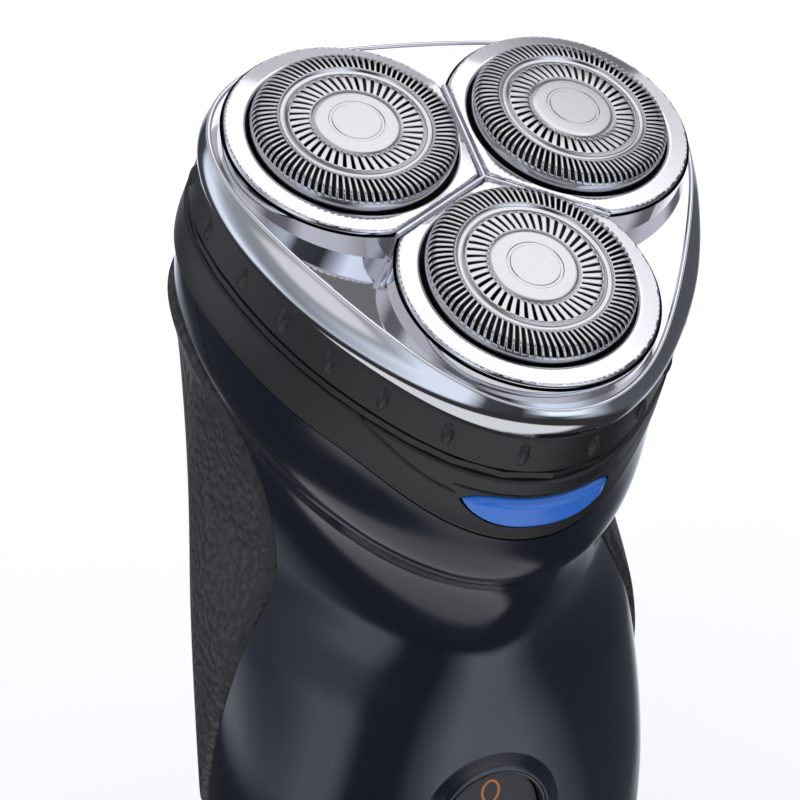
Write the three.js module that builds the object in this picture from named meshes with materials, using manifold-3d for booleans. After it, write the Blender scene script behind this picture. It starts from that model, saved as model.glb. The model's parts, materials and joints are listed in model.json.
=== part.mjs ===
// A cordless rotary electric shaver with three floating heads, in millimetres, standing upright on its base.
// +Z is up along the handle, -Y is the front (the side with the switch), and the origin is the middle of the
// flat base. The shaving head leans forward: its pieces are built in a head frame of their own, whose origin is
// the middle of the head, level with the tops of the three cutter guards, and whose +Z is the head's normal.
import * as THREE from "three";
import { mergeVertices } from "three/addons/utils/BufferGeometryUtils.js";
import Module from "manifold-3d";

const wasm = await Module();
wasm.setup();

// ---- Driving dimensions -------------------------------------------------------------------------------------
const GAP = 0.3; // between pieces that touch
const HEAD_LEAN = 30; // degrees that the head's normal leans forward from the handle's axis
const HEAD_HEIGHT = 152; // head frame's origin above the base
const HEAD_FORWARD = 11; // head frame's origin in front of the base's middle
const WALL = 2.2; // moulded case wall

const GUARD_ORBIT = 16.24; // middle of the head to the middle of each guard
const GUARD_R = 12.45; // guard's skirt
const GUARD_TAB_R = 14; // three tabs that keep a guard in its pod
const GUARD_METAL = 0.5;
const GUARD_PRESS = 1.2; // travel of a guard into its pod
const LOBES = [
  { side: "front", angle: -90 },
  { side: "right", angle: 30 },
  { side: "left", angle: 150 },
];

const HEAD_R = 30.9; // mean radius of the head's outline, then its three-fold and six-fold waves
const HEAD_WAVE = 2.8;
const HEAD_RIPPLE = 0.35;
const FLARE = 0.1; // growth of the outline for each millimetre below the chrome
const COLLAR_STEP = 0.3; // step in from the chrome to the collar

const PLATE_TOP = -2.3; // heights in the head frame
const PLATE_THICK = 1.3;
const FRAME_CREST = -4.8;
const FRAME_BOTTOM = -9;
const COLLAR_TOP = FRAME_BOTTOM - GAP;
const COLLAR_BOTTOM = -15;
const RIM_TOP = COLLAR_BOTTOM - GAP;
const RIM_BOTTOM = -16.2;
const NECK_TOP = RIM_BOTTOM - GAP;
const NECK_SIDE_EDGE = -22.9; // lower edge of the black neck collar at the sides and the back
const NECK_FRONT_EDGE = -26.2; // and under the release button
const POD_R = 15.5;
const POD_TILT = 3; // degrees
const RIB_HALF = 0.3; // half the width of the ribs between the pods
const TICKS = 24;

const HEAD_FRONT = HEAD_R + HEAD_WAVE + HEAD_RIPPLE; // reach of the outline to the front and back
const HEAD_BACK = HEAD_R - HEAD_WAVE + HEAD_RIPPLE;
const HINGE_Y = HEAD_BACK + 2.85; // head hinge, in the head frame
const HINGE_Z = (COLLAR_BOTTOM + RIM_TOP) / 2;
const HINGE_R = 1.6;
const HINGE_PIN_R = 0.8;
const KNUCKLE_HALF = 4.1;
const LUG_LENGTH = 4;

const BUTTON_HALF = 9.2; // release button
const BUTTON_TOP = -18.5;
const BUTTON_BOTTOM = -23.9;
const BUTTON_PROUD = 0.9;
const BUTTON_TRAVEL = 1;
const LATCH_Y = 2.55 - HEAD_FRONT; // front face of the head's latch
const LATCH_LOW = -20; // and its lower end
const SPRING_SEAT_Y = LATCH_Y + 5.3; // front face of the button spring's seat

const PINION_TEETH = 9;
const GEAR_TEETH = 27;
const GEAR_MODULE = (2 * GUARD_ORBIT) / (PINION_TEETH + GEAR_TEETH);
const GEAR_BOTTOM = -25;
const GEAR_THICK = 2;
const GEAR_HUB_R = 3.4;
const GEAR_HUB_TOP = -18.5;
const GEAR_PLATE_TOP = GEAR_BOTTOM - 0.5;
const GEAR_PLATE_THICK = 1.7;
const SPINDLE_R = 1.7;
const SPINDLE_COLLAR_R = 3;
const SPINDLE_TIP_R = 1.9;
const SPINDLE_TOP = -5.9;
const FLOOR_BOTTOM = -17.9; // underside of the hair chamber's floor
const BOSS_R = 4.8;
const BOSS_BORE_R = 3.7;
const BOSS_TOP = -12.6;
const MOTOR_R = 9.5;
const MOTOR_LENGTH = 11.5;
const MOTOR_SHAFT_R = 1;

const SPLIT_Y = 2.4; // where the front and rear shells meet
const SWITCH_HALF = 7.1; // recessed switch plate: half its width, and the middles of its two round ends
const SWITCH_TOP = 66.7;
const SWITCH_LOW = 54.7;
const SWITCH_RIM = 2.6;
const SLIDER_HALF = 5;
const SLIDER_LENGTH = 14;
const SLIDER_TRAVEL = 6;
const SLIDER_REST = 57; // middle of the slider when the shaver is off

const CELL_R = 7.1; // two AA cells
const CELL_LENGTH = 50;
const CELL_BOTTOM = 14;
const BOARD_Y = -10;
const BOARD_THICK = 1.6;

const INLET_Y = 8;
const INLET_HALF_X = 8;
const INLET_HALF_Y = 3.8;
const INLET_DEPTH = 12;
const INLET_WALL = 1;
const PIN_SPACING = 8.6;
const PIN_R = 1.2;

const TRIMMER_HALF = 11; // pop-up trimmer in the rear shell
const TRIMMER_TOP = 132;
const TRIMMER_HINGE_Y = 22.4;
const TRIMMER_HINGE_Z = 101;
const TRIMMER_BARREL_R = 1.4;
const TRIMMER_PIN_R = 0.5;
const TRIMMER_FLOOR = 20.8; // floor of the trimmer's recess
const TRIMMER_TEETH = 12;
const CATCH_LOW = 134.5;
const CATCH_HIGH = 139.5;
const CATCH_TRAVEL = 2;

// Case screws: where each stands, where its head seats and where the shells' two posts meet.
const SCREWS = [
  { side: "left", x: -19, z: 24, seat: 12.4, meet: SPLIT_Y },
  { side: "right", x: 19, z: 24, seat: 12.4, meet: SPLIT_Y },
  { side: "top", x: 0, z: 92, seat: 18.4, meet: 8 },
];
const SCREW_R = 1.1;
const SCREW_HEAD_R = 2.6;

const SEGMENTS = 36; // round the case
const HEAD_SEGMENTS = 36;

// ---- Solids -------------------------------------------------------------------------------------------------
const degrees = (d) => (d * Math.PI) / 180;

/** A closed geometry as a manifold-3d solid, turned outside out if its faces point inwards. */
function toSolid(geometry) {
  const bare = geometry.index ? geometry.toNonIndexed() : geometry.clone();
  bare.deleteAttribute("normal");
  bare.deleteAttribute("uv");
  const merged = mergeVertices(bare, 1e-4);
  const kept = [];
  const index = merged.index.array;
  for (let i = 0; i < index.length; i += 3) {
    const [a, b, c] = [index[i], index[i + 1], index[i + 2]];
    if (a !== b && b !== c && c !== a) kept.push(a, b, c);
  }
  const build = (triangles) =>
    new wasm.Manifold(
      new wasm.Mesh({
        numProp: 3,
        vertProperties: merged.attributes.position.array,
        triVerts: new Uint32Array(triangles),
      }),
    );
  const made = build(kept);
  return made.volume() > 0 ? made : build(kept.reverse());
}

function toGeometry(solid) {
  const found = solid.getMesh();
  const geometry = new THREE.BufferGeometry();
  geometry.setAttribute("position", new THREE.BufferAttribute(found.vertProperties, 3));
  geometry.setIndex(new THREE.BufferAttribute(found.triVerts, 1));
  geometry.computeVertexNormals();
  return geometry;
}

const join = (first, ...others) => others.reduce((a, b) => a.add(b), first);
const cut = (first, ...others) => others.reduce((a, b) => a.subtract(b), first);

/** A box from its low and high corners. */
function box(x0, y0, z0, x1, y1, z1) {
  const geometry = new THREE.BoxGeometry(x1 - x0, y1 - y0, z1 - z0);
  return toSolid(geometry.translate((x0 + x1) / 2, (y0 + y1) / 2, (z0 + z1) / 2));
}

/** An upright cylinder, or a prism with few sides, whose first corner lies along +X turned by turn degrees. */
function post(x, y, radius, z0, z1, sides = 18, turn = 0, topRadius = radius) {
  const geometry = new THREE.CylinderGeometry(topRadius, radius, z1 - z0, sides);
  geometry.rotateX(Math.PI / 2).rotateZ(degrees(turn - 90));
  return toSolid(geometry.translate(x, y, (z0 + z1) / 2));
}

/** A cylinder along X. */
function rod(x0, x1, y, z, radius, sides = 16) {
  const geometry = new THREE.CylinderGeometry(radius, radius, x1 - x0, sides);
  return toSolid(geometry.rotateZ(Math.PI / 2).translate((x0 + x1) / 2, y, z));
}

/** A cylinder along Y. */
function plug(x, z, y0, y1, radius, sides = 16) {
  const geometry = new THREE.CylinderGeometry(radius, radius, y1 - y0, sides);
  return toSolid(geometry.translate(x, (y0 + y1) / 2, z));
}

/** A profile of [radius, height] turned about an upright axis through (x, y). */
function turned(profile, x = 0, y = 0, sides = 20) {
  const points = profile.map(([r, z]) => new THREE.Vector2(r, z));
  const geometry = new THREE.LatheGeometry(points, sides);
  return toSolid(geometry.rotateX(Math.PI / 2).translate(x, y, 0));
}

/** Rings of points, each with the same count, joined in turn and closed at both ends. */
function loft(rings) {
  const count = rings[0].length;
  const positions = [];
  const face = (...corners) => corners.forEach((p) => positions.push(p.x, p.y, p.z));
  const middle = (ring) =>
    ring.reduce((sum, p) => sum.add(p), new THREE.Vector3()).divideScalar(count);
  for (let k = 0; k + 1 < rings.length; k++) {
    for (let i = 0; i < count; i++) {
      const j = (i + 1) % count;
      const [a, b] = [rings[k][i], rings[k][j]];
      const [c, d] = [rings[k + 1][i], rings[k + 1][j]];
      face(a, b, d);
      face(a, d, c);
    }
  }
  const [first, last] = [rings[0], rings[rings.length - 1]];
  const [low, high] = [middle(first), middle(last)];
  for (let i = 0; i < count; i++) {
    const j = (i + 1) % count;
    face(low, first[j], first[i]);
    face(high, last[i], last[j]);
  }
  const geometry = new THREE.BufferGeometry();
  geometry.setAttribute("position", new THREE.Float32BufferAttribute(positions, 3));
  return toSolid(geometry);
}

/** A shape drawn in X and Z, pushed out along Y from y0 to y1. */
function slab(shape, y0, y1, curveSegments = 8) {
  const geometry = new THREE.ExtrudeGeometry(shape, {
    depth: y1 - y0,
    bevelEnabled: false,
    curveSegments,
  });
  return toSolid(geometry.rotateX(Math.PI / 2).translate(0, y1, 0));
}

/** A round wire bent along a helix about an upright axis. */
function coil(x, y, radius, wire, z0, z1, turns) {
  const steps = turns * 7;
  const points = [];
  for (let i = 0; i <= steps; i++) {
    const share = i / steps;
    const angle = 2 * Math.PI * turns * share;
    const height = z0 + wire + (z1 - z0 - 2 * wire) * share;
    points.push(new THREE.Vector3(x + radius * Math.cos(angle), y + radius * Math.sin(angle), height));
  }
  const section = new THREE.Shape();
  section.absarc(0, 0, wire, 0, 2 * Math.PI);
  return toSolid(
    new THREE.ExtrudeGeometry(section, {
      steps,
      extrudePath: new THREE.CatmullRomCurve3(points),
      curveSegments: 3,
      bevelEnabled: false,
    }),
  );
}

// ---- Outlines -----------------------------------------------------------------------------------------------
/** The head's outline: its radius at an angle from the front lobe. */
const headRadius = (turn) =>
  HEAD_R + HEAD_WAVE * Math.cos(3 * turn) + HEAD_RIPPLE * Math.cos(6 * turn);

/** How far the outline has grown at a height below the chrome. */
const flare = (z) => FLARE * Math.max(0, FRAME_BOTTOM - z) - COLLAR_STEP;

/** A ring of points in the head frame; radius and height are functions of the angle from the front lobe. */
function headRing(radius, height, count = HEAD_SEGMENTS) {
  const ring = [];
  for (let i = 0; i < count; i++) {
    const turn = (2 * Math.PI * i) / count;
    const r = radius(turn);
    ring.push(new THREE.Vector3(r * Math.sin(turn), -r * Math.cos(turn), height(turn)));
  }
  return ring;
}

/** A straight-sided solid of the head's outline, grown by offsets at its two heights. */
const headPrism = (z0, z1, low, high = low) =>
  loft([
    headRing((t) => headRadius(t) + low, () => z0),
    headRing((t) => headRadius(t) + high, () => z1),
  ]);

/** Smooth step from 0 at a to 1 at b. */
function ease(a, b, x) {
  const share = Math.min(1, Math.max(0, (x - a) / (b - a)));
  return share * share * (3 - 2 * share);
}

/** Lower edge of the neck collar: it dips under the release button. */
function neckEdge(turn) {
  const fromFront = Math.abs(Math.atan2(Math.sin(turn), Math.cos(turn)));
  const dip = 1 - ease(degrees(0), degrees(46), fromFront);
  return NECK_SIDE_EDGE + (NECK_FRONT_EDGE - NECK_SIDE_EDGE) * dip;
}

// ---- The case's outer surface -------------------------------------------------------------------------------
const lean = degrees(HEAD_LEAN);
const [leanCos, leanSin] = [Math.cos(lean), Math.sin(lean)];

/** A point of the head frame in the part's own frame. */
const fromHead = (p) =>
  new THREE.Vector3(
    p.x,
    p.y * leanCos - p.z * leanSin - HEAD_FORWARD,
    p.y * leanSin + p.z * leanCos + HEAD_HEIGHT,
  );

// Sections of the handle from the base up: front and rear points in Y and Z, half the width, how far back from
// the front the section is widest (as a share of its depth), how square its front and rear are (2 is an ellipse),
// and how much of it follows the head's outline.
const SECTIONS = [
  { front: [-13.5, 0], rear: [13.5, 0], half: 18, widest: 0.5, square: [2.3, 2.3], head: 0 },
  { front: [-17.2, 2], rear: [17, 2], half: 22.4, widest: 0.5, square: [2.3, 2.3], head: 0 },
  { front: [-19, 8], rear: [18.8, 8], half: 25.6, widest: 0.5, square: [2.3, 2.3], head: 0 },
  { front: [-20.8, 24], rear: [20.6, 24], half: 28.6, widest: 0.5, square: [2.3, 2.3], head: 0 },
  { front: [-22, 44], rear: [21.8, 46], half: 30.8, widest: 0.52, square: [2.3, 2.3], head: 0 },
  { front: [-22.6, 64], rear: [23, 70], half: 31.4, widest: 0.56, square: [2.3, 2.4], head: 0 },
  { front: [-21.6, 80], rear: [24.6, 92], half: 30.4, widest: 0.66, square: [2.1, 2.8], head: 0 },
  { front: [-20.2, 92], rear: [26.4, 110], half: 28.6, widest: 0.83, square: [1.85, 3.4], head: 0 },
  { front: [-22.6, 101], rear: [27.6, 125], half: 29.4, widest: 0.84, square: [1.8, 3.6], head: 0.12 },
  { front: [-27.6, 105.5], rear: [27.4, 138], half: 31.8, widest: 0.8, square: [1.95, 3.2], head: 0.5 },
];

/** A section's ring of points, grown by an offset. */
function caseRing(section, offset) {
  const [front, rear] = [new THREE.Vector2(...section.front), new THREE.Vector2(...section.rear)];
  const along = rear.clone().sub(front);
  const depth = along.length();
  along.normalize();
  const outlineFront = headRadius(0);
  const lobe = depth / (outlineFront + headRadius(Math.PI));
  const ring = [];
  for (let i = 0; i < SEGMENTS; i++) {
    const turn = (2 * Math.PI * i) / SEGMENTS;
    const [s, c] = [Math.sin(turn), Math.cos(turn)];
    const n = section.square[c > 0 ? 0 : 1];
    const reach = depth * (c > 0 ? section.widest : 1 - section.widest);
    const oval = (Math.abs(s / section.half) ** n + Math.abs(c / reach) ** n) ** (-1 / n);
    const outline = headRadius(turn);
    const ovalPoint = [(oval + offset) * s, depth * section.widest - (oval + offset) * c];
    const outlinePoint = [
      ((outline * section.half) / headRadius(Math.PI / 2) + offset) * s,
      (outlineFront - outline * c) * lobe - offset * c,
    ];
    const x = THREE.MathUtils.lerp(ovalPoint[0], outlinePoint[0], section.head);
    const y = THREE.MathUtils.lerp(ovalPoint[1], outlinePoint[1], section.head);
    ring.push(new THREE.Vector3(x, front.x + along.x * y, front.y + along.y * y));
  }
  return ring;
}

/** The neck's ring at a height in the head frame, grown by an offset. */
const neckRing = (z, offset) =>
  headRing((t) => headRadius(t) + flare(z) + offset, () => z, SEGMENTS).map(fromHead);

/** The whole outer surface of the case and neck as a solid, grown by an offset, from its base up. */
function caseSolid(offset, base = 0, top = NECK_TOP) {
  const keys = SECTIONS.map((section) => caseRing(section, offset));
  keys.push(neckRing(NECK_SIDE_EDGE, offset), neckRing(NECK_TOP, offset));
  if (base) keys[0].forEach((p) => p.setZ(base));
  if (top !== NECK_TOP) keys.push(neckRing(top, offset));
  return loft(keys);
}

const caseOuter = caseSolid(0);
const caseInner = caseSolid(-WALL, WALL, NECK_TOP + 1);
const caseWall = cut(caseOuter, caseInner);

/** Turns a solid made in the head frame into the part's own frame. */
const leaned = (solid) => solid.rotate([HEAD_LEAN, 0, 0]).translate([0, -HEAD_FORWARD, HEAD_HEIGHT]);
/** And back. */
const upright = (solid) => solid.translate([0, HEAD_FORWARD, -HEAD_HEIGHT]).rotate([-HEAD_LEAN, 0, 0]);

/** Everything above the neck collar's lower edge, in the part's own frame, with the edge lowered by drop. */
function aboveNeckEdge(drop) {
  const edge = (radius) => headRing(() => radius, (t) => neckEdge(t) - drop);
  const rings = [edge(1), edge(24), edge(44), edge(60), headRing(() => 60, () => 20)];
  return loft(rings.map((ring) => ring.map(fromHead)));
}

// ---- Materials ----------------------------------------------------------------------------------------------
const paint = (color, roughness, metalness = 0) =>
  new THREE.MeshStandardMaterial({ color, roughness, metalness });
const MATERIALS = {
  navy: paint(0x1a2230, 0.18),
  black: paint(0x202124, 0.5),
  rubber: paint(0x2a2b2d, 0.85),
  chrome: paint(0xd9dbe0, 0.06, 1),
  steel: paint(0xb9b8b6, 0.25, 1),
  blue: paint(0x2460d0, 0.4),
  grey: paint(0x3a3b40, 0.45),
  white: paint(0xe8e6de, 0.5),
  board: paint(0x1f5a38, 0.5),
  brass: paint(0xb98f45, 0.3, 1),
  sleeve: paint(0x2f7a4f, 0.4),
  lens: paint(0x9fd8a0, 0.2),
};

const shaver = new THREE.Group();
const headFrame = new THREE.Group();
headFrame.rotation.x = lean;
headFrame.position.set(0, -HEAD_FORWARD, HEAD_HEIGHT);
shaver.add(headFrame);

/** Adds a solid as a named mesh, to the upright group or to the head's leaning one. */
function place(name, solid, material, group = shaver) {
  const mesh = new THREE.Mesh(toGeometry(solid), MATERIALS[material]);
  mesh.name = name;
  group.add(mesh);
}

/** Middle of a guard in the head frame. */
const lobeMiddle = ({ angle }) => [
  GUARD_ORBIT * Math.cos(degrees(angle)),
  GUARD_ORBIT * Math.sin(degrees(angle)),
];

/** A block standing on a circle about (x, y): its radial and tangential sizes, turned to an angle. */
function tab(x, y, angle, inner, outer, width, z0, z1) {
  const geometry = new THREE.BoxGeometry(outer - inner, width, z1 - z0);
  geometry.translate((inner + outer) / 2, 0, (z0 + z1) / 2).rotateZ(degrees(angle));
  return toSolid(geometry.translate(x, y, 0));
}

// ---- Shaving head -------------------------------------------------------------------------------------------
/** The third of the head that belongs to one lobe, kept a distance away from its two straight sides. */
function lobeWedge({ angle }, inset, z0, z1) {
  const apex = inset / Math.sin(degrees(60));
  const at = (turn, reach) => [
    apex * Math.cos(degrees(angle)) + reach * Math.cos(degrees(angle + turn)),
    apex * Math.sin(degrees(angle)) + reach * Math.sin(degrees(angle + turn)),
  ];
  const corners = [at(0, 0), at(-60, 90), at(60, 90)];
  const shape = new THREE.Shape(corners.map(([x, y]) => new THREE.Vector2(x, y)));
  const geometry = new THREE.ExtrudeGeometry(shape, { depth: z1 - z0, bevelEnabled: false });
  return toSolid(geometry.translate(0, 0, z0));
}

/** A pod's outline as an upright solid, grown by an offset. */
function podSolid(lobe, grow, z0, z1) {
  const [x, y] = lobeMiddle(lobe);
  return lobeWedge(lobe, RIB_HALF + GAP - grow, z0, z1).intersect(
    post(x, y, POD_R + grow, z0, z1, 36, lobe.angle),
  );
}

/** The chrome frame: the head's rim, the hollows between its lobes and the ribs between the pods. */
function makeHeadFrame() {
  const slope = (t) => 0.5 + 0.9 * (1 - Math.cos(3 * t));
  const ring = (share, drop, z) =>
    headRing((t) => headRadius(t) - share * slope(t) - drop, () => z);
  const circle = (radius, z) => headRing(() => radius, () => z);
  const outer = loft([
    ring(0, 0, FRAME_BOTTOM),
    ring(0.3, 0, FRAME_BOTTOM + 1.5),
    ring(0.85, 0, FRAME_CREST + -0.7),
    ring(1, 0.2, FRAME_CREST - 0.15),
    ring(1, 0.6, FRAME_CREST),
    ring(1, 1.1, FRAME_CREST - 0.15),
    circle(22.5, FRAME_CREST - 0.3),
    circle(20, FRAME_CREST + 0.7),
    circle(18, PLATE_TOP - 0.3),
    circle(17.3, PLATE_TOP),
  ]);
  const pockets = LOBES.map((lobe) => podSolid(lobe, GAP, FRAME_BOTTOM - 1, 1));
  const hollow = headPrism(FRAME_BOTTOM - 1, FRAME_CREST - 1.6, -2);
  const notch = box(-3, -40, FRAME_BOTTOM - 1, 3, -32.5, FRAME_BOTTOM + 0.9);
  return cut(outer, hollow, notch, ...pockets);
}
place("head_frame", makeHeadFrame(), "chrome", headFrame);

/** The black collar under the chrome: a grip ring of upright ribs, with the head's latch and hinge knuckle. */
function makeHeadCollar() {
  const outer = headPrism(COLLAR_BOTTOM, COLLAR_TOP, flare(COLLAR_BOTTOM), flare(COLLAR_TOP));
  const inner = headPrism(COLLAR_BOTTOM - 1, COLLAR_TOP + 1, -1.8);
  const upstand = cut(
    headPrism(COLLAR_TOP - 2.2, FRAME_CREST - 2.2, -2.4),
    headPrism(COLLAR_TOP - 3, FRAME_CREST, -3.6),
  );
  const ledge = cut(
    headPrism(COLLAR_TOP - 2.4, COLLAR_TOP - 1.1, -1.5),
    headPrism(COLLAR_TOP - 4, COLLAR_TOP, -6),
  );
  const ribs = [];
  for (let i = 0; i < TICKS; i++) {
    const turn = (2 * Math.PI * (i + 0.5)) / TICKS;
    const nearBack = Math.abs(turn - Math.PI) < degrees(18);
    if (nearBack) continue;
    const r = headRadius(turn);
    const angle = THREE.MathUtils.radToDeg(turn) - 90;
    ribs.push(tab(0, 0, angle, r - 1, r + 0.6, 0.7, COLLAR_BOTTOM + 0.5, COLLAR_TOP - 0.5));
  }
  const latch = box(-3, LATCH_Y, LATCH_LOW, 3, LATCH_Y + 1.2, COLLAR_BOTTOM + 1);
  const latchRoot = box(-3, LATCH_Y - 1, COLLAR_BOTTOM, 3, LATCH_Y + 1.2, COLLAR_BOTTOM + 2);
  const knuckle = rod(-KNUCKLE_HALF, KNUCKLE_HALF, HINGE_Y, HINGE_Z, HINGE_R);
  const web = box(-KNUCKLE_HALF, HINGE_Y - 3.7, HINGE_Z + 0.2, KNUCKLE_HALF, HINGE_Y, HINGE_Z + HINGE_R);
  const pinHole = rod(-20, 20, HINGE_Y, HINGE_Z, HINGE_PIN_R + GAP);
  const ring = join(cut(outer, inner), upstand, ledge, ...ribs);
  return cut(join(ring, latch, latchRoot, knuckle, web), pinHole);
}
place("head_collar", makeHeadCollar(), "black", headFrame);

/** The retaining plate under the cutters, resting on the collar's ledge. */
function makeRetainer() {
  const low = COLLAR_TOP - 1.1 + GAP;
  const plate = headPrism(low, low + 1, -4);
  const holes = LOBES.map((lobe) => post(...lobeMiddle(lobe), 6.5, low - 1, low + 2));
  const knob = post(0, 0, 2.6, low + 0.5, low + 2.9, 6);
  return join(cut(plate, ...holes), knob);
}
place("cutter_retainer", makeRetainer(), "black", headFrame);

// A guard's section: its rounded face and its skirt.
const GUARD_EDGE = -4.7;
const GUARD_OUTSIDE = [
  [0, 0],
  [GUARD_R - 1.45, 0],
  [GUARD_R - 0.45, -0.4],
  [GUARD_R, -1.2],
  [GUARD_R, GUARD_EDGE],
];
const GUARD_INSIDE = [
  [GUARD_R - GUARD_METAL, GUARD_EDGE],
  [GUARD_R - GUARD_METAL, -1.4],
  [GUARD_R - 1.15, -0.7],
  [0, -0.7],
];
const HUB_R = 5.2;
const HUB_TOP = -3.6;
const HUB_BOTTOM = -7.6;
const BLADE_R = GUARD_R - 1.25;
const BLADE_FINGERS = 9;

for (const lobe of LOBES) {
  const [x, y] = lobeMiddle(lobe);

  // A pod: a plate with a hole for the guard and an arc of rim underneath.
  const low = PLATE_TOP - PLATE_THICK;
  const rim = cut(
    podSolid(lobe, 0, low - 1.4, low + 0.5),
    post(x, y, GUARD_TAB_R + 0.4, low - 2, low + 1, 30, lobe.angle),
    lobeWedge({ angle: lobe.angle + 120 }, 0, low - 2, low + 1).translate(
      8 * Math.cos(degrees(lobe.angle)),
      8 * Math.sin(degrees(lobe.angle)),
      0,
    ),
    lobeWedge({ angle: lobe.angle - 120 }, 0, low - 2, low + 1).translate(
      8 * Math.cos(degrees(lobe.angle)),
      8 * Math.sin(degrees(lobe.angle)),
      0,
    ),
  );
  const plate = cut(
    podSolid(lobe, 0, low, PLATE_TOP),
    post(x, y, GUARD_R + GAP, low - 1, PLATE_TOP + 1, 36, lobe.angle),
  );
  place(`pod_${lobe.side}`, join(plate, rim), "chrome", headFrame);

  // The slotted guard.
  const cup = turned([...GUARD_OUTSIDE, ...GUARD_INSIDE], x, y, 30);
  const keepers = [0, 90, -90].map((turn) =>
    tab(x, y, lobe.angle + turn, GUARD_R - 0.3, GUARD_TAB_R, 3, GUARD_EDGE, low - GAP),
  );
  place(`guard_${lobe.side}`, join(cup, ...keepers), "steel", headFrame);

  // The cutter under it: a disc with upright fingers, on a moulded hub.
  const disc = turned(
    [
      [2.3, -3.3],
      [BLADE_R, -3.3],
      [BLADE_R, -2.9],
      [2.3, -2.9],
      [2.3, -3.3],
    ],
    x,
    y,
    24,
  );
  const fingers = Array.from({ length: BLADE_FINGERS }, (_, i) =>
    tab(x, y, lobe.angle + (360 * i) / BLADE_FINGERS, BLADE_R - 1.7, BLADE_R, 0.6, -3.2, -1.05),
  );
  place(`cutter_blade_${lobe.side}`, join(disc, ...fingers), "steel", headFrame);
  const hub = turned(
    [
      [0, HUB_TOP + 1.3],
      [2, HUB_TOP + 1.3],
      [2, HUB_TOP],
      [HUB_R, HUB_TOP],
      [HUB_R, HUB_BOTTOM],
      [0, HUB_BOTTOM],
    ],
    x,
    y,
  );
  const socket = post(x, y, 3.35, HUB_BOTTOM - 1, HUB_TOP - 1, 6, lobe.angle);
  place(`cutter_hub_${lobe.side}`, cut(hub, socket), "white", headFrame);
}

// ---- Drive --------------------------------------------------------------------------------------------------
/** A spur gear's toothed rim as an upright solid, its first tooth at an angle. */
function toothed(x, y, teeth, first, z0, z1) {
  const pitchRadius = (GEAR_MODULE * teeth) / 2;
  const root = pitchRadius - 1.15 * GEAR_MODULE;
  const tip = pitchRadius + 0.75 * GEAR_MODULE;
  const pitch = (2 * Math.PI) / teeth;
  const corners = [];
  for (let i = 0; i < teeth; i++) {
    const middle = degrees(first) + i * pitch;
    const at = (radius, share) =>
      corners.push(
        new THREE.Vector2(
          radius * Math.cos(middle + share * pitch),
          radius * Math.sin(middle + share * pitch),
        ),
      );
    at(root, -0.27);
    at(tip, -0.1);
    at(tip, 0.1);
    at(root, 0.27);
  }
  const geometry = new THREE.ExtrudeGeometry(new THREE.Shape(corners), {
    depth: z1 - z0,
    bevelEnabled: false,
  });
  return toSolid(geometry.translate(x, y, z0));
}

const GEAR_TOP = GEAR_BOTTOM + GEAR_THICK;
const GEAR_BORE_R = SPINDLE_R + GAP;
const SPINDLE_LOW = GEAR_PLATE_TOP + 3.2;
const SPINDLE_COLLAR_TOP = -12.5;
for (const lobe of LOBES) {
  const [x, y] = lobeMiddle(lobe);

  // A gear meshes with the motor's pinion, whose first tooth stands a quarter of a pitch past each lobe.
  const first = lobe.angle + 180 + 90 / GEAR_TEETH;
  const gear = join(
    toothed(x, y, GEAR_TEETH, first, GEAR_BOTTOM, GEAR_TOP),
    post(x, y, GEAR_HUB_R, GEAR_BOTTOM + 0.5, GEAR_HUB_TOP),
  );
  const bore = post(x, y, GEAR_BORE_R, GEAR_BOTTOM - 1, GEAR_HUB_TOP + 1);
  place(`drive_gear_${lobe.side}`, cut(gear, bore), "white", headFrame);

  // The sprung spindle that carries the turn up to the cutter's hub.
  const shaft = turned(
    [
      [0, SPINDLE_LOW],
      [SPINDLE_R, SPINDLE_LOW],
      [SPINDLE_R, SPINDLE_COLLAR_TOP - 1],
      [SPINDLE_COLLAR_R, SPINDLE_COLLAR_TOP - 1],
      [SPINDLE_COLLAR_R, SPINDLE_COLLAR_TOP],
      [1.3, SPINDLE_COLLAR_TOP],
      [1.2, SPINDLE_TOP - 1],
      [0, SPINDLE_TOP - 1],
    ],
    x,
    y,
    16,
  );
  const tip = post(x, y, SPINDLE_TIP_R, SPINDLE_TOP - 2.4, SPINDLE_TOP, 3, lobe.angle);
  place(`spindle_${lobe.side}`, join(shaft, tip), "white", headFrame);
  place(
    `spindle_spring_${lobe.side}`,
    coil(x, y, 2.5, 0.3, GEAR_HUB_TOP + GAP, SPINDLE_COLLAR_TOP - 1 - GAP, 3),
    "steel",
    headFrame,
  );
}

place(
  "motor_pinion",
  cut(
    toothed(0, 0, PINION_TEETH, 0, GEAR_BOTTOM - 0.1, GEAR_TOP + 0.3),
    post(0, 0, MOTOR_SHAFT_R + GAP, GEAR_BOTTOM - 1, GEAR_TOP + 1, 16),
  ),
  "brass",
  headFrame,
);
const MOTOR_TOP = GEAR_PLATE_TOP - GEAR_PLATE_THICK - GAP;
const MOTOR_BOTTOM = MOTOR_TOP - MOTOR_LENGTH;
place(
  "motor_shaft",
  post(0, 0, MOTOR_SHAFT_R, MOTOR_BOTTOM + 3, GEAR_TOP + 0.8, 16),
  "steel",
  headFrame,
);
place(
  "motor_can",
  cut(
    turned([
      [0, MOTOR_BOTTOM],
      [MOTOR_R, MOTOR_BOTTOM],
      [MOTOR_R, MOTOR_TOP - 0.8],
      [MOTOR_R - 0.8, MOTOR_TOP],
      [0, MOTOR_TOP],
    ]),
    post(0, 0, MOTOR_SHAFT_R + GAP, MOTOR_BOTTOM + 2, MOTOR_TOP + 1, 16),
  ),
  "steel",
  headFrame,
);
const END_LOW = MOTOR_BOTTOM - GAP - 1.4;
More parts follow.
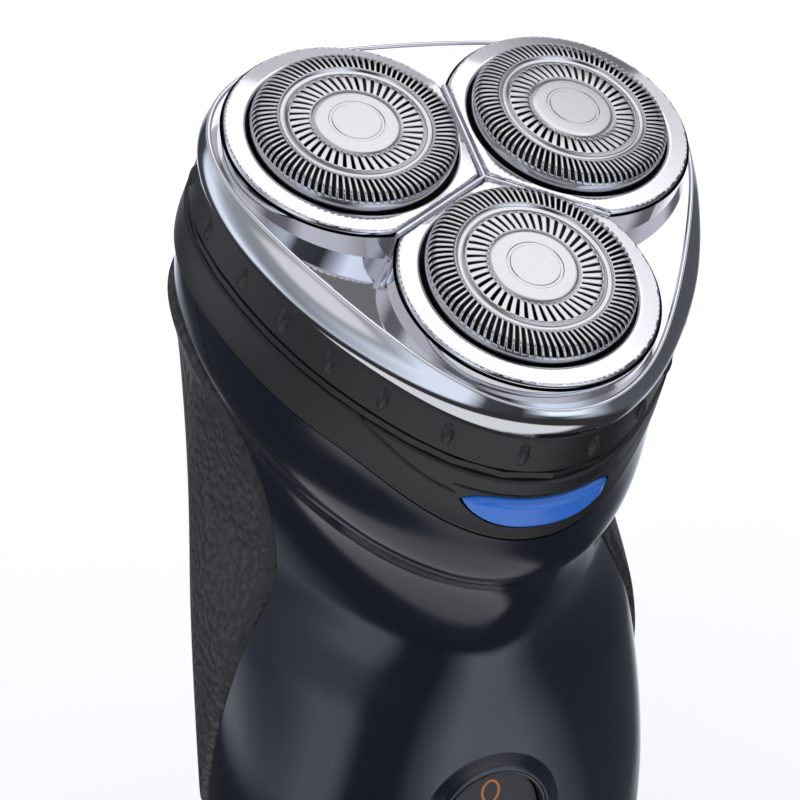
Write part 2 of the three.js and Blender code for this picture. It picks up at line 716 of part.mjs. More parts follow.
place(
  "motor_end_cap",
  join(
    turned([
      [0, END_LOW],
      [MOTOR_R - 0.6, END_LOW],
      [MOTOR_R - 0.6, MOTOR_BOTTOM - GAP],
      [0, MOTOR_BOTTOM - GAP],
    ]),
    box(-6, -0.3, END_LOW - 2.4, -4.2, 0.3, END_LOW + 0.5),
    box(4.2, -0.3, END_LOW - 2.4, 6, 0.3, END_LOW + 0.5),
  ),
  "black",
  headFrame,
);

/** The plate that holds the gears' pins, the motor's cup and three posts up to the hair chamber. */
function makeGearPlate() {
  const low = GEAR_PLATE_TOP - GEAR_PLATE_THICK;
  const roomInside = upright(caseSolid(-WALL - GAP));
  const plate = headPrism(low, GEAR_PLATE_TOP, -6).intersect(roomInside);
  const pins = LOBES.map((lobe) =>
    post(...lobeMiddle(lobe), SPINDLE_R, GEAR_PLATE_TOP - 0.5, SPINDLE_LOW - GUARD_PRESS - GAP, 16),
  );
  const posts = LOBES.map(({ angle }) => {
    const turn = degrees(angle + 180);
    return post(21 * Math.cos(turn), 21 * Math.sin(turn), 2, low, FLOOR_BOTTOM - GAP, 12);
  });
  const cup = post(0, 0, MOTOR_R + GAP + 1.4, MOTOR_TOP - 4, low + 0.5, 32);
  const cupBore = post(0, 0, MOTOR_R + GAP, MOTOR_TOP - 5, low, 32);
  const shaftHole = post(0, 0, MOTOR_SHAFT_R + 0.5, low - 1, GEAR_PLATE_TOP + 1, 16);
  return cut(join(plate, cup, ...pins, ...posts), cupBore, shaftHole);
}
place("gear_plate", makeGearPlate(), "white", headFrame);

/** The hair chamber: a flanged bowl that closes the neck, with a tall boss round each spindle. */
function makeHairChamber() {
  const flange = headPrism(RIM_BOTTOM, RIM_TOP, flare(RIM_BOTTOM), flare(RIM_TOP));
  const bowl = headPrism(FLOOR_BOTTOM, RIM_BOTTOM + 0.5, -WALL - 0.4);
  const hollow = headPrism(FLOOR_BOTTOM + 1.2, RIM_TOP + 1, -WALL - 1.8);
  const bosses = LOBES.map((lobe) => post(...lobeMiddle(lobe), BOSS_R, FLOOR_BOTTOM, BOSS_TOP));
  const bores = LOBES.map((lobe) =>
    post(...lobeMiddle(lobe), BOSS_BORE_R, FLOOR_BOTTOM - 1, BOSS_TOP + 1),
  );
  const latchSlot = box(-3.6, LATCH_Y - 0.7, FLOOR_BOTTOM - 1, 3.6, LATCH_Y + 1.8, RIM_TOP + 1);
  const springSeat = box(
    -2.6,
    SPRING_SEAT_Y,
    FLOOR_BOTTOM - 4.2,
    2.6,
    SPRING_SEAT_Y + 1.4,
    FLOOR_BOTTOM + 0.5,
  );
  const dish = cut(join(flange, bowl), hollow);
  return cut(join(dish, springSeat, ...bosses), latchSlot, ...bores);
}
place("hair_chamber", makeHairChamber(), "black", headFrame);

// ---- Neck and release button --------------------------------------------------------------------------------
/** The release button's crescent, as a solid reaching right through the front of the neck. */
function buttonPrism(grow) {
  const half = BUTTON_HALF + grow;
  const shape = new THREE.Shape();
  const corner = BUTTON_TOP - 1.3;
  shape.moveTo(-half, corner + grow);
  shape.quadraticCurveTo(0, BUTTON_TOP + 1.3 + grow, half, corner + grow);
  shape.lineTo(half, corner - grow);
  shape.quadraticCurveTo(half * 0.8, BUTTON_BOTTOM + 0.6 - grow, 0, BUTTON_BOTTOM - grow);
  shape.quadraticCurveTo(-half * 0.8, BUTTON_BOTTOM + 0.6 - grow, -half, corner - grow);
  return slab(shape, -60, -20);
}

const PIN_LENGTH = 2 * (KNUCKLE_HALF + GAP + LUG_LENGTH) - 0.6;
function makeNeckCollar() {
  const skin = caseWall.intersect(aboveNeckEdge(0));
  const lugs = [-1, 1].map((side) => {
    const near = KNUCKLE_HALF + GAP;
    const [x0, x1] = side < 0 ? [-near - LUG_LENGTH, -near] : [near, near + LUG_LENGTH];
    const barrel = rod(x0, x1, HINGE_Y, HINGE_Z, HINGE_R);
    const web = box(x0, HINGE_Y - 3.1, HINGE_Z - 5, x1, HINGE_Y + HINGE_R - 0.2, NECK_TOP - 0.2);
    const rise = box(x0, HINGE_Y - 1.2, NECK_TOP - 1, x1, HINGE_Y + HINGE_R - 0.2, HINGE_Z);
    return join(barrel, web, rise);
  });
  const pinHole = rod(-20, 20, HINGE_Y, HINGE_Z, HINGE_PIN_R + GAP);
  const whole = join(skin, ...lugs.map(leaned));
  return cut(whole, leaned(buttonPrism(GAP)), leaned(pinHole));
}
place("neck_collar", makeNeckCollar(), "black");

function makeButton() {
  const skin = cut(caseSolid(BUTTON_PROUD), caseSolid(-1.2, WALL, NECK_TOP + 1));
  const face = upright(skin).intersect(buttonPrism(0));
  const hookFrom = LATCH_Y + 1.2 + GAP;
  const armTop = LATCH_LOW - 0.9;
  const arm = box(-2, LATCH_Y - 3.1, armTop - 1.2, 2, hookFrom + 0.7, armTop);
  const hook = box(-2, hookFrom, armTop - 1.2, 2, hookFrom + 0.7, LATCH_LOW + 0.8);
  return join(face, arm, hook);
}
place("release_button", makeButton(), "blue", headFrame);

/** A small coil lying along Y between the button's hook and its seat under the hair chamber. */
function makeButtonSpring() {
  const reach = SPRING_SEAT_Y - (LATCH_Y + 1.2 + GAP + 0.7) - 2 * GAP;
  const standing = coil(0, 0, 1.1, 0.25, 0, reach, 3);
  return standing.rotate([90, 0, 0]).translate([0, SPRING_SEAT_Y - GAP, LATCH_LOW - 0.6]);
}
place("button_spring", makeButtonSpring(), "steel", headFrame);
place(
  "hinge_pin",
  rod(-PIN_LENGTH / 2, PIN_LENGTH / 2, HINGE_Y, HINGE_Z, HINGE_PIN_R, 12),
  "steel",
  headFrame,
);

// ---- Handle -------------------------------------------------------------------------------------------------
/** The switch's oval, drawn in X and Z, as a solid from y0 to y1. */
function oval(half, y0, y1) {
  const shape = new THREE.Shape();
  shape.absarc(0, SWITCH_TOP, half, 0, Math.PI);
  shape.absarc(0, SWITCH_LOW, half, Math.PI, 2 * Math.PI);
  return slab(shape, y0, y1, 10);
}

// A side grip's leaf in Y and Z: its two tips and the points that pull its front and rear edges outwards.
const GRIP_TIP = [6, 56];
const GRIP_TOP = [19, 136];
const GRIP_FRONT = [-17, 102];
const GRIP_REAR = [30, 96];
const GRIP_DEPTH = 1;
const GRIP_PROUD = 0.8;

/** The leaf as a solid reaching out from the middle of the handle to one side. */
function gripPrism(side, grow) {
  const shape = new THREE.Shape();
  const [low, high] = [GRIP_TIP[1] - 1.5 * grow, GRIP_TOP[1] + 1.5 * grow];
  shape.moveTo(GRIP_TIP[0], low);
  shape.quadraticCurveTo(GRIP_FRONT[0] - 2 * grow, GRIP_FRONT[1], GRIP_TOP[0], high);
  shape.quadraticCurveTo(GRIP_REAR[0] + 2 * grow, GRIP_REAR[1], GRIP_TIP[0], low);
  const geometry = new THREE.ExtrudeGeometry(shape, {
    depth: 45,
    bevelEnabled: false,
    curveSegments: 10,
  });
  geometry.rotateX(Math.PI / 2).rotateZ(Math.PI / 2);
  return side < 0 ? toSolid(geometry).mirror([1, 0, 0]) : toSolid(geometry);
}

const belowNeck = cut(caseWall, aboveNeckEdge(GAP));
const gripBed = cut(caseSolid(1), caseSolid(-GRIP_DEPTH - GAP));
const gripSkin = cut(caseSolid(GRIP_PROUD), caseSolid(-GRIP_DEPTH), aboveNeckEdge(2 * GAP));
for (const [side, sign] of [["left", -1], ["right", 1]]) {
  place(`grip_${side}`, gripSkin.intersect(gripPrism(sign, 0)), "rubber");
}
const gripRecess = gripBed.intersect(join(gripPrism(-1, 2 * GAP), gripPrism(1, 2 * GAP)));
const shells = cut(belowNeck, gripRecess);

/** A post along Y that stays inside the case. */
const casePost = (x, z, y0, y1, radius) =>
  plug(x, z, y0, y1, radius, 20).intersect(caseSolid(-0.4));

const PLATE_BACK = -20.3; // the switch plate's two faces
const PLATE_FACE = -21.2;
const stemSlot = (grow) =>
  box(
    -1.4 - grow,
    -40,
    SLIDER_REST - 2 - grow,
    1.4 + grow,
    -10,
    SLIDER_REST + 2 + SLIDER_TRAVEL + grow,
  );
const LENS_Z = 36;
const LENS_R = 1.3;

function makeFrontShell() {
  const half = shells.intersect(box(-50, -60, -5, 50, SPLIT_Y - GAP / 2, 200));
  const rim = caseSolid(0.9).intersect(oval(SWITCH_HALF + SWITCH_RIM, -40, -18.8));
  const posts = SCREWS.map(({ x, z, meet }) => casePost(x, z, -40, meet - GAP / 2, 3));
  const bores = SCREWS.map(({ x, z, meet }) => plug(x, z, meet - 12, meet + 1, SCREW_R + GAP));
  const well = oval(SWITCH_HALF, -40, PLATE_BACK + GAP);
  const lens = plug(0, LENS_Z, -40, -10, LENS_R + GAP);
  return cut(join(half, rim, ...posts), well, stemSlot(0.5), lens, ...bores);
}
place("front_shell", makeFrontShell(), "navy");

const CATCH_HALF = 5;
const trimmerTub = (grow) =>
  box(
    -TRIMMER_HALF - grow,
    TRIMMER_FLOOR - (grow > 1 ? 1.2 : 0),
    TRIMMER_HINGE_Z - TRIMMER_BARREL_R - grow,
    TRIMMER_HALF + grow,
    40,
    TRIMMER_TOP + grow,
  );
const inletHole = (grow) =>
  box(
    -INLET_HALF_X - grow,
    INLET_Y - INLET_HALF_Y - grow,
    -5,
    INLET_HALF_X + grow,
    INLET_Y + INLET_HALF_Y + grow,
    INLET_DEPTH,
  );

function makeRearShell() {
  const half = shells.intersect(box(-50, SPLIT_Y + GAP / 2, -5, 50, 60, 200));
  const posts = SCREWS.map(({ x, z, meet }) => casePost(x, z, meet + GAP / 2, 40, 3.8));
  const bores = SCREWS.map(({ x, z }) => plug(x, z, -1, 60, SCREW_R + GAP));
  const seats = SCREWS.map(({ x, z, seat }) => plug(x, z, seat, 60, SCREW_HEAD_R + GAP, 20));
  const tub = trimmerTub(GAP + 1.3).intersect(caseSolid(-0.4));
  const pinHoles = rod(
    -TRIMMER_HALF - 1.4,
    TRIMMER_HALF + 1.4,
    TRIMMER_HINGE_Y,
    TRIMMER_HINGE_Z,
    TRIMMER_PIN_R + GAP,
    12,
  );
  const catchWindow = box(
    -CATCH_HALF - GAP,
    10,
    CATCH_LOW - GAP,
    CATCH_HALF + GAP,
    60,
    CATCH_HIGH + CATCH_TRAVEL + GAP,
  );
  return cut(
    join(half, tub, ...posts),
    trimmerTub(GAP),
    pinHoles,
    catchWindow,
    inletHole(GAP),
    ...bores,
    ...seats,
  );
}
place("rear_shell", makeRearShell(), "navy");

for (const { side, x, z, seat, meet } of SCREWS) {
  const shank = plug(x, z, meet - 9, seat + 0.8, SCREW_R, 12);
  const head = cut(
    plug(x, z, seat + GAP, seat + GAP + 1.6, SCREW_HEAD_R, 20),
    box(x - 0.4, seat + GAP + 0.9, z - 2, x + 0.4, seat + 5, z + 2),
    box(x - 2, seat + GAP + 0.9, z - 0.4, x + 2, seat + 5, z + 0.4),
  );
  place(`case_screw_${side}`, join(shank, head), "steel");
}

// ---- Switch -------------------------------------------------------------------------------------------------
place("switch_plate", cut(oval(SWITCH_HALF - GAP, PLATE_FACE, PLATE_BACK), stemSlot(0.5)), "grey");

function makeSlider() {
  const shape = new THREE.Shape();
  const reach = SLIDER_LENGTH / 2 - SLIDER_HALF;
  shape.absarc(0, SLIDER_REST + reach, SLIDER_HALF, 0, Math.PI);
  shape.absarc(0, SLIDER_REST - reach, SLIDER_HALF, Math.PI, 2 * Math.PI);
  const face = PLATE_FACE - GAP;
  const pad = slab(shape, face - 1.7, face, 8);
  const ridges = [-3, -1.5, 0, 1.5, 3].map((z) =>
    box(-3.4, face - 2.2, SLIDER_REST + z - 0.3, 3.4, face - 1.4, SLIDER_REST + z + 0.3),
  );
  const stem = box(-1.4, face - 0.2, SLIDER_REST - 2, 1.4, BOARD_Y - 2.2, SLIDER_REST + 2);
  return join(pad, stem, ...ridges);
}
place("power_slider", makeSlider(), "grey");
place("charge_lens", plug(0, LENS_Z, -21.9, BOARD_Y - 1.5, LENS_R, 16), "lens");

// ---- Inside the handle --------------------------------------------------------------------------------------
place("circuit_board", box(-17, BOARD_Y, 29, 17, BOARD_Y + BOARD_THICK, 86), "board");
place(
  "slide_switch",
  cut(
    box(-4, BOARD_Y - 3.4, SLIDER_REST - 5, 4, BOARD_Y - GAP, SLIDER_REST + 5 + SLIDER_TRAVEL),
    box(
      -1.7,
      BOARD_Y - 9,
      SLIDER_REST - 2.4,
      1.7,
      BOARD_Y - 1.9,
      SLIDER_REST + 2.4 + SLIDER_TRAVEL,
    ),
  ),
  "steel",
);
place("capacitor", plug(10, 42, BOARD_Y - 6.5, BOARD_Y - GAP, 3.2, 20), "sleeve");
const INSIDE_BACK = BOARD_Y + BOARD_THICK;
place("transformer", box(-8, INSIDE_BACK + GAP, 68.5, 8, 4, 84), "sleeve");

const CELL_X = CELL_R + 0.6;
const CELL_Y = 2.1;
const CELL_TOP = CELL_BOTTOM + CELL_LENGTH;
for (const [side, sign] of [["left", -1], ["right", 1]]) {
  const nipple = 2.4;
  place(
    `battery_cell_${side}`,
    turned(
      [
        [0, CELL_BOTTOM],
        [CELL_R, CELL_BOTTOM],
        [CELL_R, CELL_TOP - 0.8],
        [nipple, CELL_TOP - 0.8],
        [nipple, CELL_TOP],
        [0, CELL_TOP],
      ],
      sign * CELL_X,
      CELL_Y,
      24,
    ),
    "sleeve",
  );
}
place(
  "battery_bridge",
  box(-CELL_X - 3, CELL_Y - 2.5, CELL_TOP + GAP, CELL_X + 3, CELL_Y + 2.5, CELL_TOP + GAP + 0.4),
  "steel",
);

/** The frame behind the cells: a back plate with a shelf above them and a rib between them. */
function makeChassis() {
  const back = CELL_Y + CELL_R + 0.5;
  const plate = box(-14.5, back, CELL_BOTTOM, 14.5, back + 1.6, 84);
  const shelf = box(-14.5, INSIDE_BACK + GAP, CELL_TOP + 1.6, 14.5, back + 0.5, CELL_TOP + 3.1);
  const rib = box(-0.6, CELL_Y + 5, CELL_BOTTOM, 0.6, back + 0.5, CELL_TOP - 6);
  return cut(join(plate, shelf, rib), box(-4, back - 1, 30, 4, back + 3, 46));
}
place("chassis", makeChassis(), "black");

function makeInlet() {
  const [y0, y1] = [INLET_Y - INLET_HALF_Y, INLET_Y + INLET_HALF_Y];
  const outer = box(-INLET_HALF_X, y0, 0.4, INLET_HALF_X, y1, INLET_DEPTH + INLET_WALL);
  const inner = box(
    -INLET_HALF_X + INLET_WALL,
    y0 + INLET_WALL,
    -1,
    INLET_HALF_X - INLET_WALL,
    y1 - INLET_WALL,
    INLET_DEPTH,
  );
  const holes = [-1, 1].map((sign) =>
    post((sign * PIN_SPACING) / 2, INLET_Y, PIN_R + GAP, INLET_DEPTH - 1, INLET_DEPTH + 3, 16),
  );
  return cut(outer, inner, ...holes);
}
place("inlet_socket", makeInlet(), "black");
for (const [side, sign] of [["left", -1], ["right", 1]]) {
  place(
    `inlet_pin_${side}`,
    post((sign * PIN_SPACING) / 2, INLET_Y, PIN_R, 3, CELL_BOTTOM - GAP, 16),
    "brass",
  );
}

// ---- Pop-up trimmer -----------------------------------------------------------------------------------------
const ARM_FROM = TRIMMER_HINGE_Z + 2.5;
const ARM_INNER = TRIMMER_FLOOR + 0.5;
const COMB_LOW = 120;
const COMB_Y = TRIMMER_FLOOR + 2.6;
const BLADE_Y = TRIMMER_FLOOR + 1.4;
const BLADE_THICK = 0.8;
function makeTrimmerArm() {
  const panel = cut(
    caseOuter.intersect(box(-TRIMMER_HALF, ARM_INNER, ARM_FROM, TRIMMER_HALF, 40, TRIMMER_TOP - 3)),
    box(-20, 0, COMB_LOW - GAP, 20, COMB_Y + BLADE_THICK + GAP, 200),
  );
  const barrel = rod(
    -TRIMMER_HALF,
    TRIMMER_HALF,
    TRIMMER_HINGE_Y,
    TRIMMER_HINGE_Z,
    TRIMMER_BARREL_R - GAP,
    20,
  );
  const web = box(
    -TRIMMER_HALF,
    ARM_INNER,
    TRIMMER_HINGE_Z,
    TRIMMER_HALF,
    TRIMMER_HINGE_Y + 0.9,
    ARM_FROM + 0.5,
  );
  const pins = rod(
    -TRIMMER_HALF - 1,
    TRIMMER_HALF + 1,
    TRIMMER_HINGE_Y,
    TRIMMER_HINGE_Z,
    TRIMMER_PIN_R,
    12,
  );
  return join(panel, barrel, web, pins);
}
place("trimmer_arm", makeTrimmerArm(), "navy");

/** A toothed plate standing on edge: teeth point up. */
function toothedPlate(half, y, z0, z1, teeth, depth) {
  const pitch = (2 * half) / teeth;
  const gaps = Array.from({ length: teeth - 1 }, (_, i) => {
    const x = -half + pitch * (i + 1);
    return box(x - pitch * 0.27, y - 1, z1 - depth, x + pitch * 0.27, y + 2, z1 + 1);
  });
  return cut(box(-half, y, z0, half, y + BLADE_THICK, z1), ...gaps);
}
place(
  "trimmer_comb",
  toothedPlate(TRIMMER_HALF - 1, COMB_Y, COMB_LOW, TRIMMER_TOP - 0.8, TRIMMER_TEETH, 4),
  "steel",
);
place(
  "trimmer_blade",
  toothedPlate(TRIMMER_HALF - 2.2, BLADE_Y, COMB_LOW + 1, TRIMMER_TOP - 1.2, TRIMMER_TEETH, 3.5),
  "steel",
);

function makeCatch() {
  const skin = cut(caseSolid(0.8), caseSolid(-1.6));
  return skin.intersect(box(-CATCH_HALF, 15, CATCH_LOW, CATCH_HALF, 60, CATCH_HIGH));
}
place("trimmer_catch", makeCatch(), "grey");

export default shaver;
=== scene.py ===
"""An upright rotary shaver with three cutters, dressed for a studio shot."""

import json
import math

import bmesh
import bpy
import numpy as np
from bpy.props import FloatProperty, FloatVectorProperty, IntProperty, PointerProperty
from mathutils import Matrix, Vector
from mathutils.bvhtree import BVHTree


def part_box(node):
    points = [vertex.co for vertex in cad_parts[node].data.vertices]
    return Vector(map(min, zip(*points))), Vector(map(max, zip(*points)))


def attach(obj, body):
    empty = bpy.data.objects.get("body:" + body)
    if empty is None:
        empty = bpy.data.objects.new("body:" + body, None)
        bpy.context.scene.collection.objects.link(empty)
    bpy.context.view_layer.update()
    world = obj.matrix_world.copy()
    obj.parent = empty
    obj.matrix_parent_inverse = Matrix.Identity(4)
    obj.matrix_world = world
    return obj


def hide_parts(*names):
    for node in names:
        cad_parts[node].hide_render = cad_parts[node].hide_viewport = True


bl_info = {
    "name": "Rotary Shaver",
    "version": (1, 0, 0),
    "blender": (4, 5, 0),
    "location": "View3D > Sidebar > Shaver",
    "description": "Builds the smooth outside, finishes and studio of a rotary shaver",
    "category": "Object",
}

MM = 0.001
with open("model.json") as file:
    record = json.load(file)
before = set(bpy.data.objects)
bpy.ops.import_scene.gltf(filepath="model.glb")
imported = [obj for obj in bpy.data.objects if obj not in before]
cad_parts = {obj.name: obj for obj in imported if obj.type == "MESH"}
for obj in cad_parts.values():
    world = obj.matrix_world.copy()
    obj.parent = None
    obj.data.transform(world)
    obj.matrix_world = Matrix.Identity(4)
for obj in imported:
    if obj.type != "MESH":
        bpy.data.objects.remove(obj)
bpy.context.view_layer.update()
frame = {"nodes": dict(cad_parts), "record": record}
JOINTS = {j["name"]: j for j in frame["record"]["behaviour"]["joints"]}
SLOT_OF = {s["node"]: s["material_slot"] for s in frame["record"]["subparts"]}
LETTERS = {"f": "front", "r": "right", "l": "left"}

# The head's own frame: its normal is the motor's axis, and X is shared with the handle.
HEAD_N = np.array(JOINTS["motor_spin"]["axis"])
HEAD_Y = np.cross(HEAD_N, (1.0, 0.0, 0.0))
HEAD_O = np.array(JOINTS["motor_spin"]["pos_m"]) / MM
HEAD = np.stack([np.array((1.0, 0.0, 0.0)), HEAD_Y, HEAD_N])


def from_head(points):
    """Points of the head's frame, in mm, in the handle's frame."""
    return np.asarray(points) @ HEAD + HEAD_O


def to_head(points):
    """Points of the handle's frame, in mm, in the head's frame."""
    return (np.asarray(points) - HEAD_O) @ HEAD.T


def corners(name):
    """A solid's lower corner, middle and upper corner, in mm."""
    lo, hi = (np.array(corner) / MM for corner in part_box(name))
    return lo, (lo + hi) / 2, hi


def lobe_middle(letter):
    """A lobe's middle in the head's frame, and its angle."""
    x, y, _ = to_head(np.array(JOINTS[f"gear_spin_{letter}"]["pos_m"]) / MM)
    return np.array((x, y)), math.atan2(y, x)


# ---- Settings ------------------------------------------------------------------------------------
def length(name, description, default):
    """A size property whose default is given in mm."""
    return FloatProperty(
        name=name, description=description, default=default * MM, unit="LENGTH", precision=5
    )


def colour(name, description, code):
    """A colour property whose default is an sRGB hex value."""
    channels = [int(code[i : i + 2], 16) / 255 for i in (0, 2, 4)]
    return FloatVectorProperty(
        name=name, description=description, default=channels, subtype="COLOR_GAMMA", min=0, max=1
    )


class ShaverSizes(bpy.types.PropertyGroup):
    head_radius: length("Head radius", "Mean radius of the head's outline", 30.9)
    head_wave: length("Head wave", "Three-fold wave of the outline", 2.8)
    head_ripple: length("Head ripple", "Six-fold wave of the outline", 0.35)
    guard_radius: length("Guard radius", "Skirt of a cutter guard", 12.45)
    pod_radius: length("Lobe radius", "Chromed plate round a guard", 15.5)
    plate_top: length("Plate height", "Top of the lobes' plates under the guards' tops", -2.3)
    crest: length("Crest height", "Crest of the chromed band", -4.8)
    band_foot: length("Band foot", "Lower edge of the chromed band", -9.0)
    collar_foot: length("Collar foot", "Lower edge of the ticked collar", -15.0)
    neck_top: length("Neck top", "Upper edge of the neck collar", -16.5)
    neck_side: length("Neck side", "Lower edge of the neck collar at its sides", -22.8)
    neck_front: length("Neck front", "Lower edge of the neck collar in front", -26.2)
    rib_proud: length("Tick height", "How far a tick stands off the collar", 0.55)
    grip_proud: length("Grip height", "How far a grip stands off the handle", 0.8)
    outer_slots: IntProperty(name="Outer slots", description="Slots round a guard", default=90)
    inner_slots: IntProperty(name="Inner slots", description="Slots of the inner ring", default=45)


class ShaverColours(bpy.types.PropertyGroup):
    navy: colour("Navy", "Glossy handle", "141A28")
    black: colour("Black", "Satin collar", "202022")
    rubber: colour("Rubber", "Grips", "2A2A2C")
    chrome: colour("Chrome", "Plated head", "E3E4EA")
    steel: colour("Steel", "Guards", "D0D0D4")
    # The cutters' colour is darker than their steel's own tone: painted shade under the guards.
    shaded_blade: colour("Shaded blade", "Cutters under the guards", "3A3A3C")
    blue: colour("Blue", "Release button", "2C74DC")
    grey: colour("Grey", "Switch", "3B3C42")
    white: colour("White", "Gears and spindles", "E6E3DA")
    orange: colour("Orange", "Printed figure", "D07C30")
    board: colour("Board", "Circuit board", "1F5A38")
    brass: colour("Brass", "Pins and pinion", "C79B4B")
    sleeve: colour("Sleeve", "Cells and capacitor", "2F7A4F")
    lens: colour("Lens", "Charge light", "9FD8A0")
    floor: colour("Floor", "Pale floor", "F4F4F5")


def sizes():
    return bpy.context.scene.shaver_sizes


def mm(name):
    """A size of the scene's settings, in mm."""
    return getattr(sizes(), name) / MM


# ---- Materials -----------------------------------------------------------------------------------
def linear(channels):
    """sRGB to linear, with an alpha of one."""
    turned = [c / 12.92 if c <= 0.04045 else ((c + 0.055) / 1.055) ** 2.4 for c in channels]
    return (*turned, 1.0)


def node(tree, kind, settings=None, links=None):
    """Adds a node, sets its attributes and inputs, and links its inputs."""
    made = tree.nodes.new(kind)
    for key, value in (settings or {}).items():
        if isinstance(key, str) and hasattr(made, key):
            setattr(made, key, value)
        else:
            made.inputs[key].default_value = value
    for key, source in (links or {}).items():
        tree.links.new(source, made.inputs[key])
    return made


# Each entry: title, colour, metallic, roughness and its spread, grain and bump depth in mm, coat.
FINISHES = {
    # Moulded against a polished steel tool: long, soft-edged highlights with a slight waver.
    "navy": ("Navy ABS, gloss moulded", "navy", 0, 0.16, 0.03, 9.0, 0.002, 0.5),
    # A spark-eroded tool leaves it satin: highlights spread into a dull sheen.
    "black": ("Black ABS, satin moulded", "black", 0, 0.42, 0.06, 0.5, 0.004, 0),
    # Leather grain runs under 1 mm; it's drawn coarser, so that it shows.
    "rubber": ("Rubber, leather-grained", "rubber", 0, 0.45, 0.12, 1.2, 0.5, 0),
    # Plating over smooth plastic: a near mirror that bends with the moulding's sinks.
    "chrome": ("Chrome-plated ABS", "chrome", 1, 0.05, 0.02, 12.0, 0.001, 0),
    # Ground and polished: a soft mirror with a fine mottle.
    "steel": ("Stainless steel, ground", "steel", 1, 0.15, 0.06, 0.4, 0.002, 0),
    # Gloss over flecks in the plastic, which break the highlight up.
    "blue": ("Blue ABS, gloss moulded", "blue", 0, 0.28, 0.12, 1.4, 0.06, 0.3),
    # The switch's plastic, as satin as the collar's.
    "grey": ("Grey ABS, satin moulded", "grey", 0, 0.4, 0.06, 0.5, 0.004, 0),
    # Waxy and pale.
    "white": ("Acetal, moulded", "white", 0, 0.4, 0.06, 1.0, 0.004, 0),
    # Green lacquer with an even, wet look.
    "board": ("Circuit board, lacquered", "board", 0, 0.35, 0.08, 1.5, 0.01, 0),
    # Honed teeth, their steel drawn dark as painted shade, so that the guards' slots look dark.
    "shaded_blade": ("Tool steel, honed, with painted shade", "shaded_blade", 1, 0.45, 0.1, 0.4, 0.004, 0),
    # Fine turning marks soften the shine.
    "brass": ("Brass, turned", "brass", 1, 0.25, 0.06, 0.5, 0.003, 0),
    # Shrunk film, tight and slightly rippled.
    "sleeve": ("PVC sleeve, shrunk", "sleeve", 0, 0.3, 0.06, 2.0, 0.01, 0),
    # Smooth and tinted, with a small sharp highlight.
    "lens": ("Acrylic, clear moulded", "lens", 0, 0.15, 0.03, 2.0, 0.002, 0.3),
}
GLOSS_PATCH = 25.0  # mm across which a finish's roughness wanders
INK_SHADE = 0.85


def finish(slot):
    """The material of a record slot, made once."""
    title, tint, metallic, rough, spread, grain, depth, coat = FINISHES[slot]
    found = bpy.data.materials.get(title)
    if found:
        return found
    made = bpy.data.materials.new(title)
    made.use_nodes = True
    tree = made.node_tree
    tree.nodes.clear()
    base = linear(getattr(bpy.context.scene.shaver_colours, tint))
    place = node(tree, "ShaderNodeTexCoord").outputs["Object"]
    fine, broad = (
        node(
            tree,
            "ShaderNodeTexNoise",
            {"Scale": 1 / (across * MM), "Detail": detail},
            {"Vector": place},
        )
        for across, detail in ((grain, 4.0), (GLOSS_PATCH, 3.0))
    )
    roughness = node(
        tree,
        "ShaderNodeMapRange",
        {"To Min": rough - spread / 2, "To Max": rough + spread / 2},
        {"Value": broad.outputs["Fac"]},
    )
    darker = tuple(c * 0.9 for c in base[:3]) + (1.0,)
    tone = node(tree, "ShaderNodeMix", {"data_type": "RGBA"}, {"Factor": fine.outputs["Fac"]})
    tone.inputs[6].default_value, tone.inputs[7].default_value = base, darker
    height = fine.outputs["Fac"]
    if slot == "rubber":
        cells = node(
            tree,
            "ShaderNodeTexVoronoi",
            {"feature": "SMOOTH_F1", "Scale": 1 / (grain * MM), "Smoothness": 0.5},
            {"Vector": place},
        )
        height = cells.outputs["Distance"]
    bump = node(
        tree, "ShaderNodeBump", {"Strength": 1.0, "Distance": depth * MM}, {"Height": height}
    )
    shader = node(
        tree,
        "ShaderNodeBsdfPrincipled",
        {"Metallic": float(metallic), "Coat Weight": float(coat), "Coat Roughness": 0.04},
        {
            "Base Color": tone.outputs[2],
            "Roughness": roughness.outputs["Result"],
            "Normal": bump.outputs["Normal"],
        },
    )
    node(tree, "ShaderNodeOutputMaterial", None, {"Surface": shader.outputs["BSDF"]})
    return made


# ---- Meshes --------------------------------------------------------------------------------------
def grid_faces(rows, cols, wrap=True, ring=False):
    """Faces of a grid; wrap joins the last column to the first, and ring the last row."""
    faces = []
    for j in range(rows if ring else rows - 1):
        k = (j + 1) % rows
        for i in range(cols if wrap else cols - 1):
            n = (i + 1) % cols
            faces.append((j * cols + i, j * cols + n, k * cols + n, k * cols + i))
    return faces


def solid(name, points, faces):
    """A new object from points in mm, its faces turned outward."""
    mesh = bpy.data.meshes.new(name)
    mesh.from_pydata([tuple(p) for p in np.asarray(points) * MM], [], faces)
    bm = bmesh.new()
    bm.from_mesh(mesh)
    bmesh.ops.recalc_face_normals(bm, faces=bm.faces)
    bm.to_mesh(mesh)
    bm.free()
    made = bpy.data.objects.new(name, mesh)
    bpy.context.collection.objects.link(made)
    return made


def soften(mesh, sharp):
    """Shades a mesh smooth, apart from edges that turn by more than an angle in degrees."""
    mesh.shade_smooth()
    mesh.set_sharp_from_angle(angle=math.radians(sharp))


def piece(name, points, faces, body, slot, nodes=(), sharp=35):
    """A smooth solid that rides on a body and stands for CAD nodes."""
    made = solid(name, points, faces)
    soften(made.data, sharp)
    made.data.materials.append(finish(slot))
    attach(made, body)
    if nodes:
        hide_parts(*nodes)
    return made


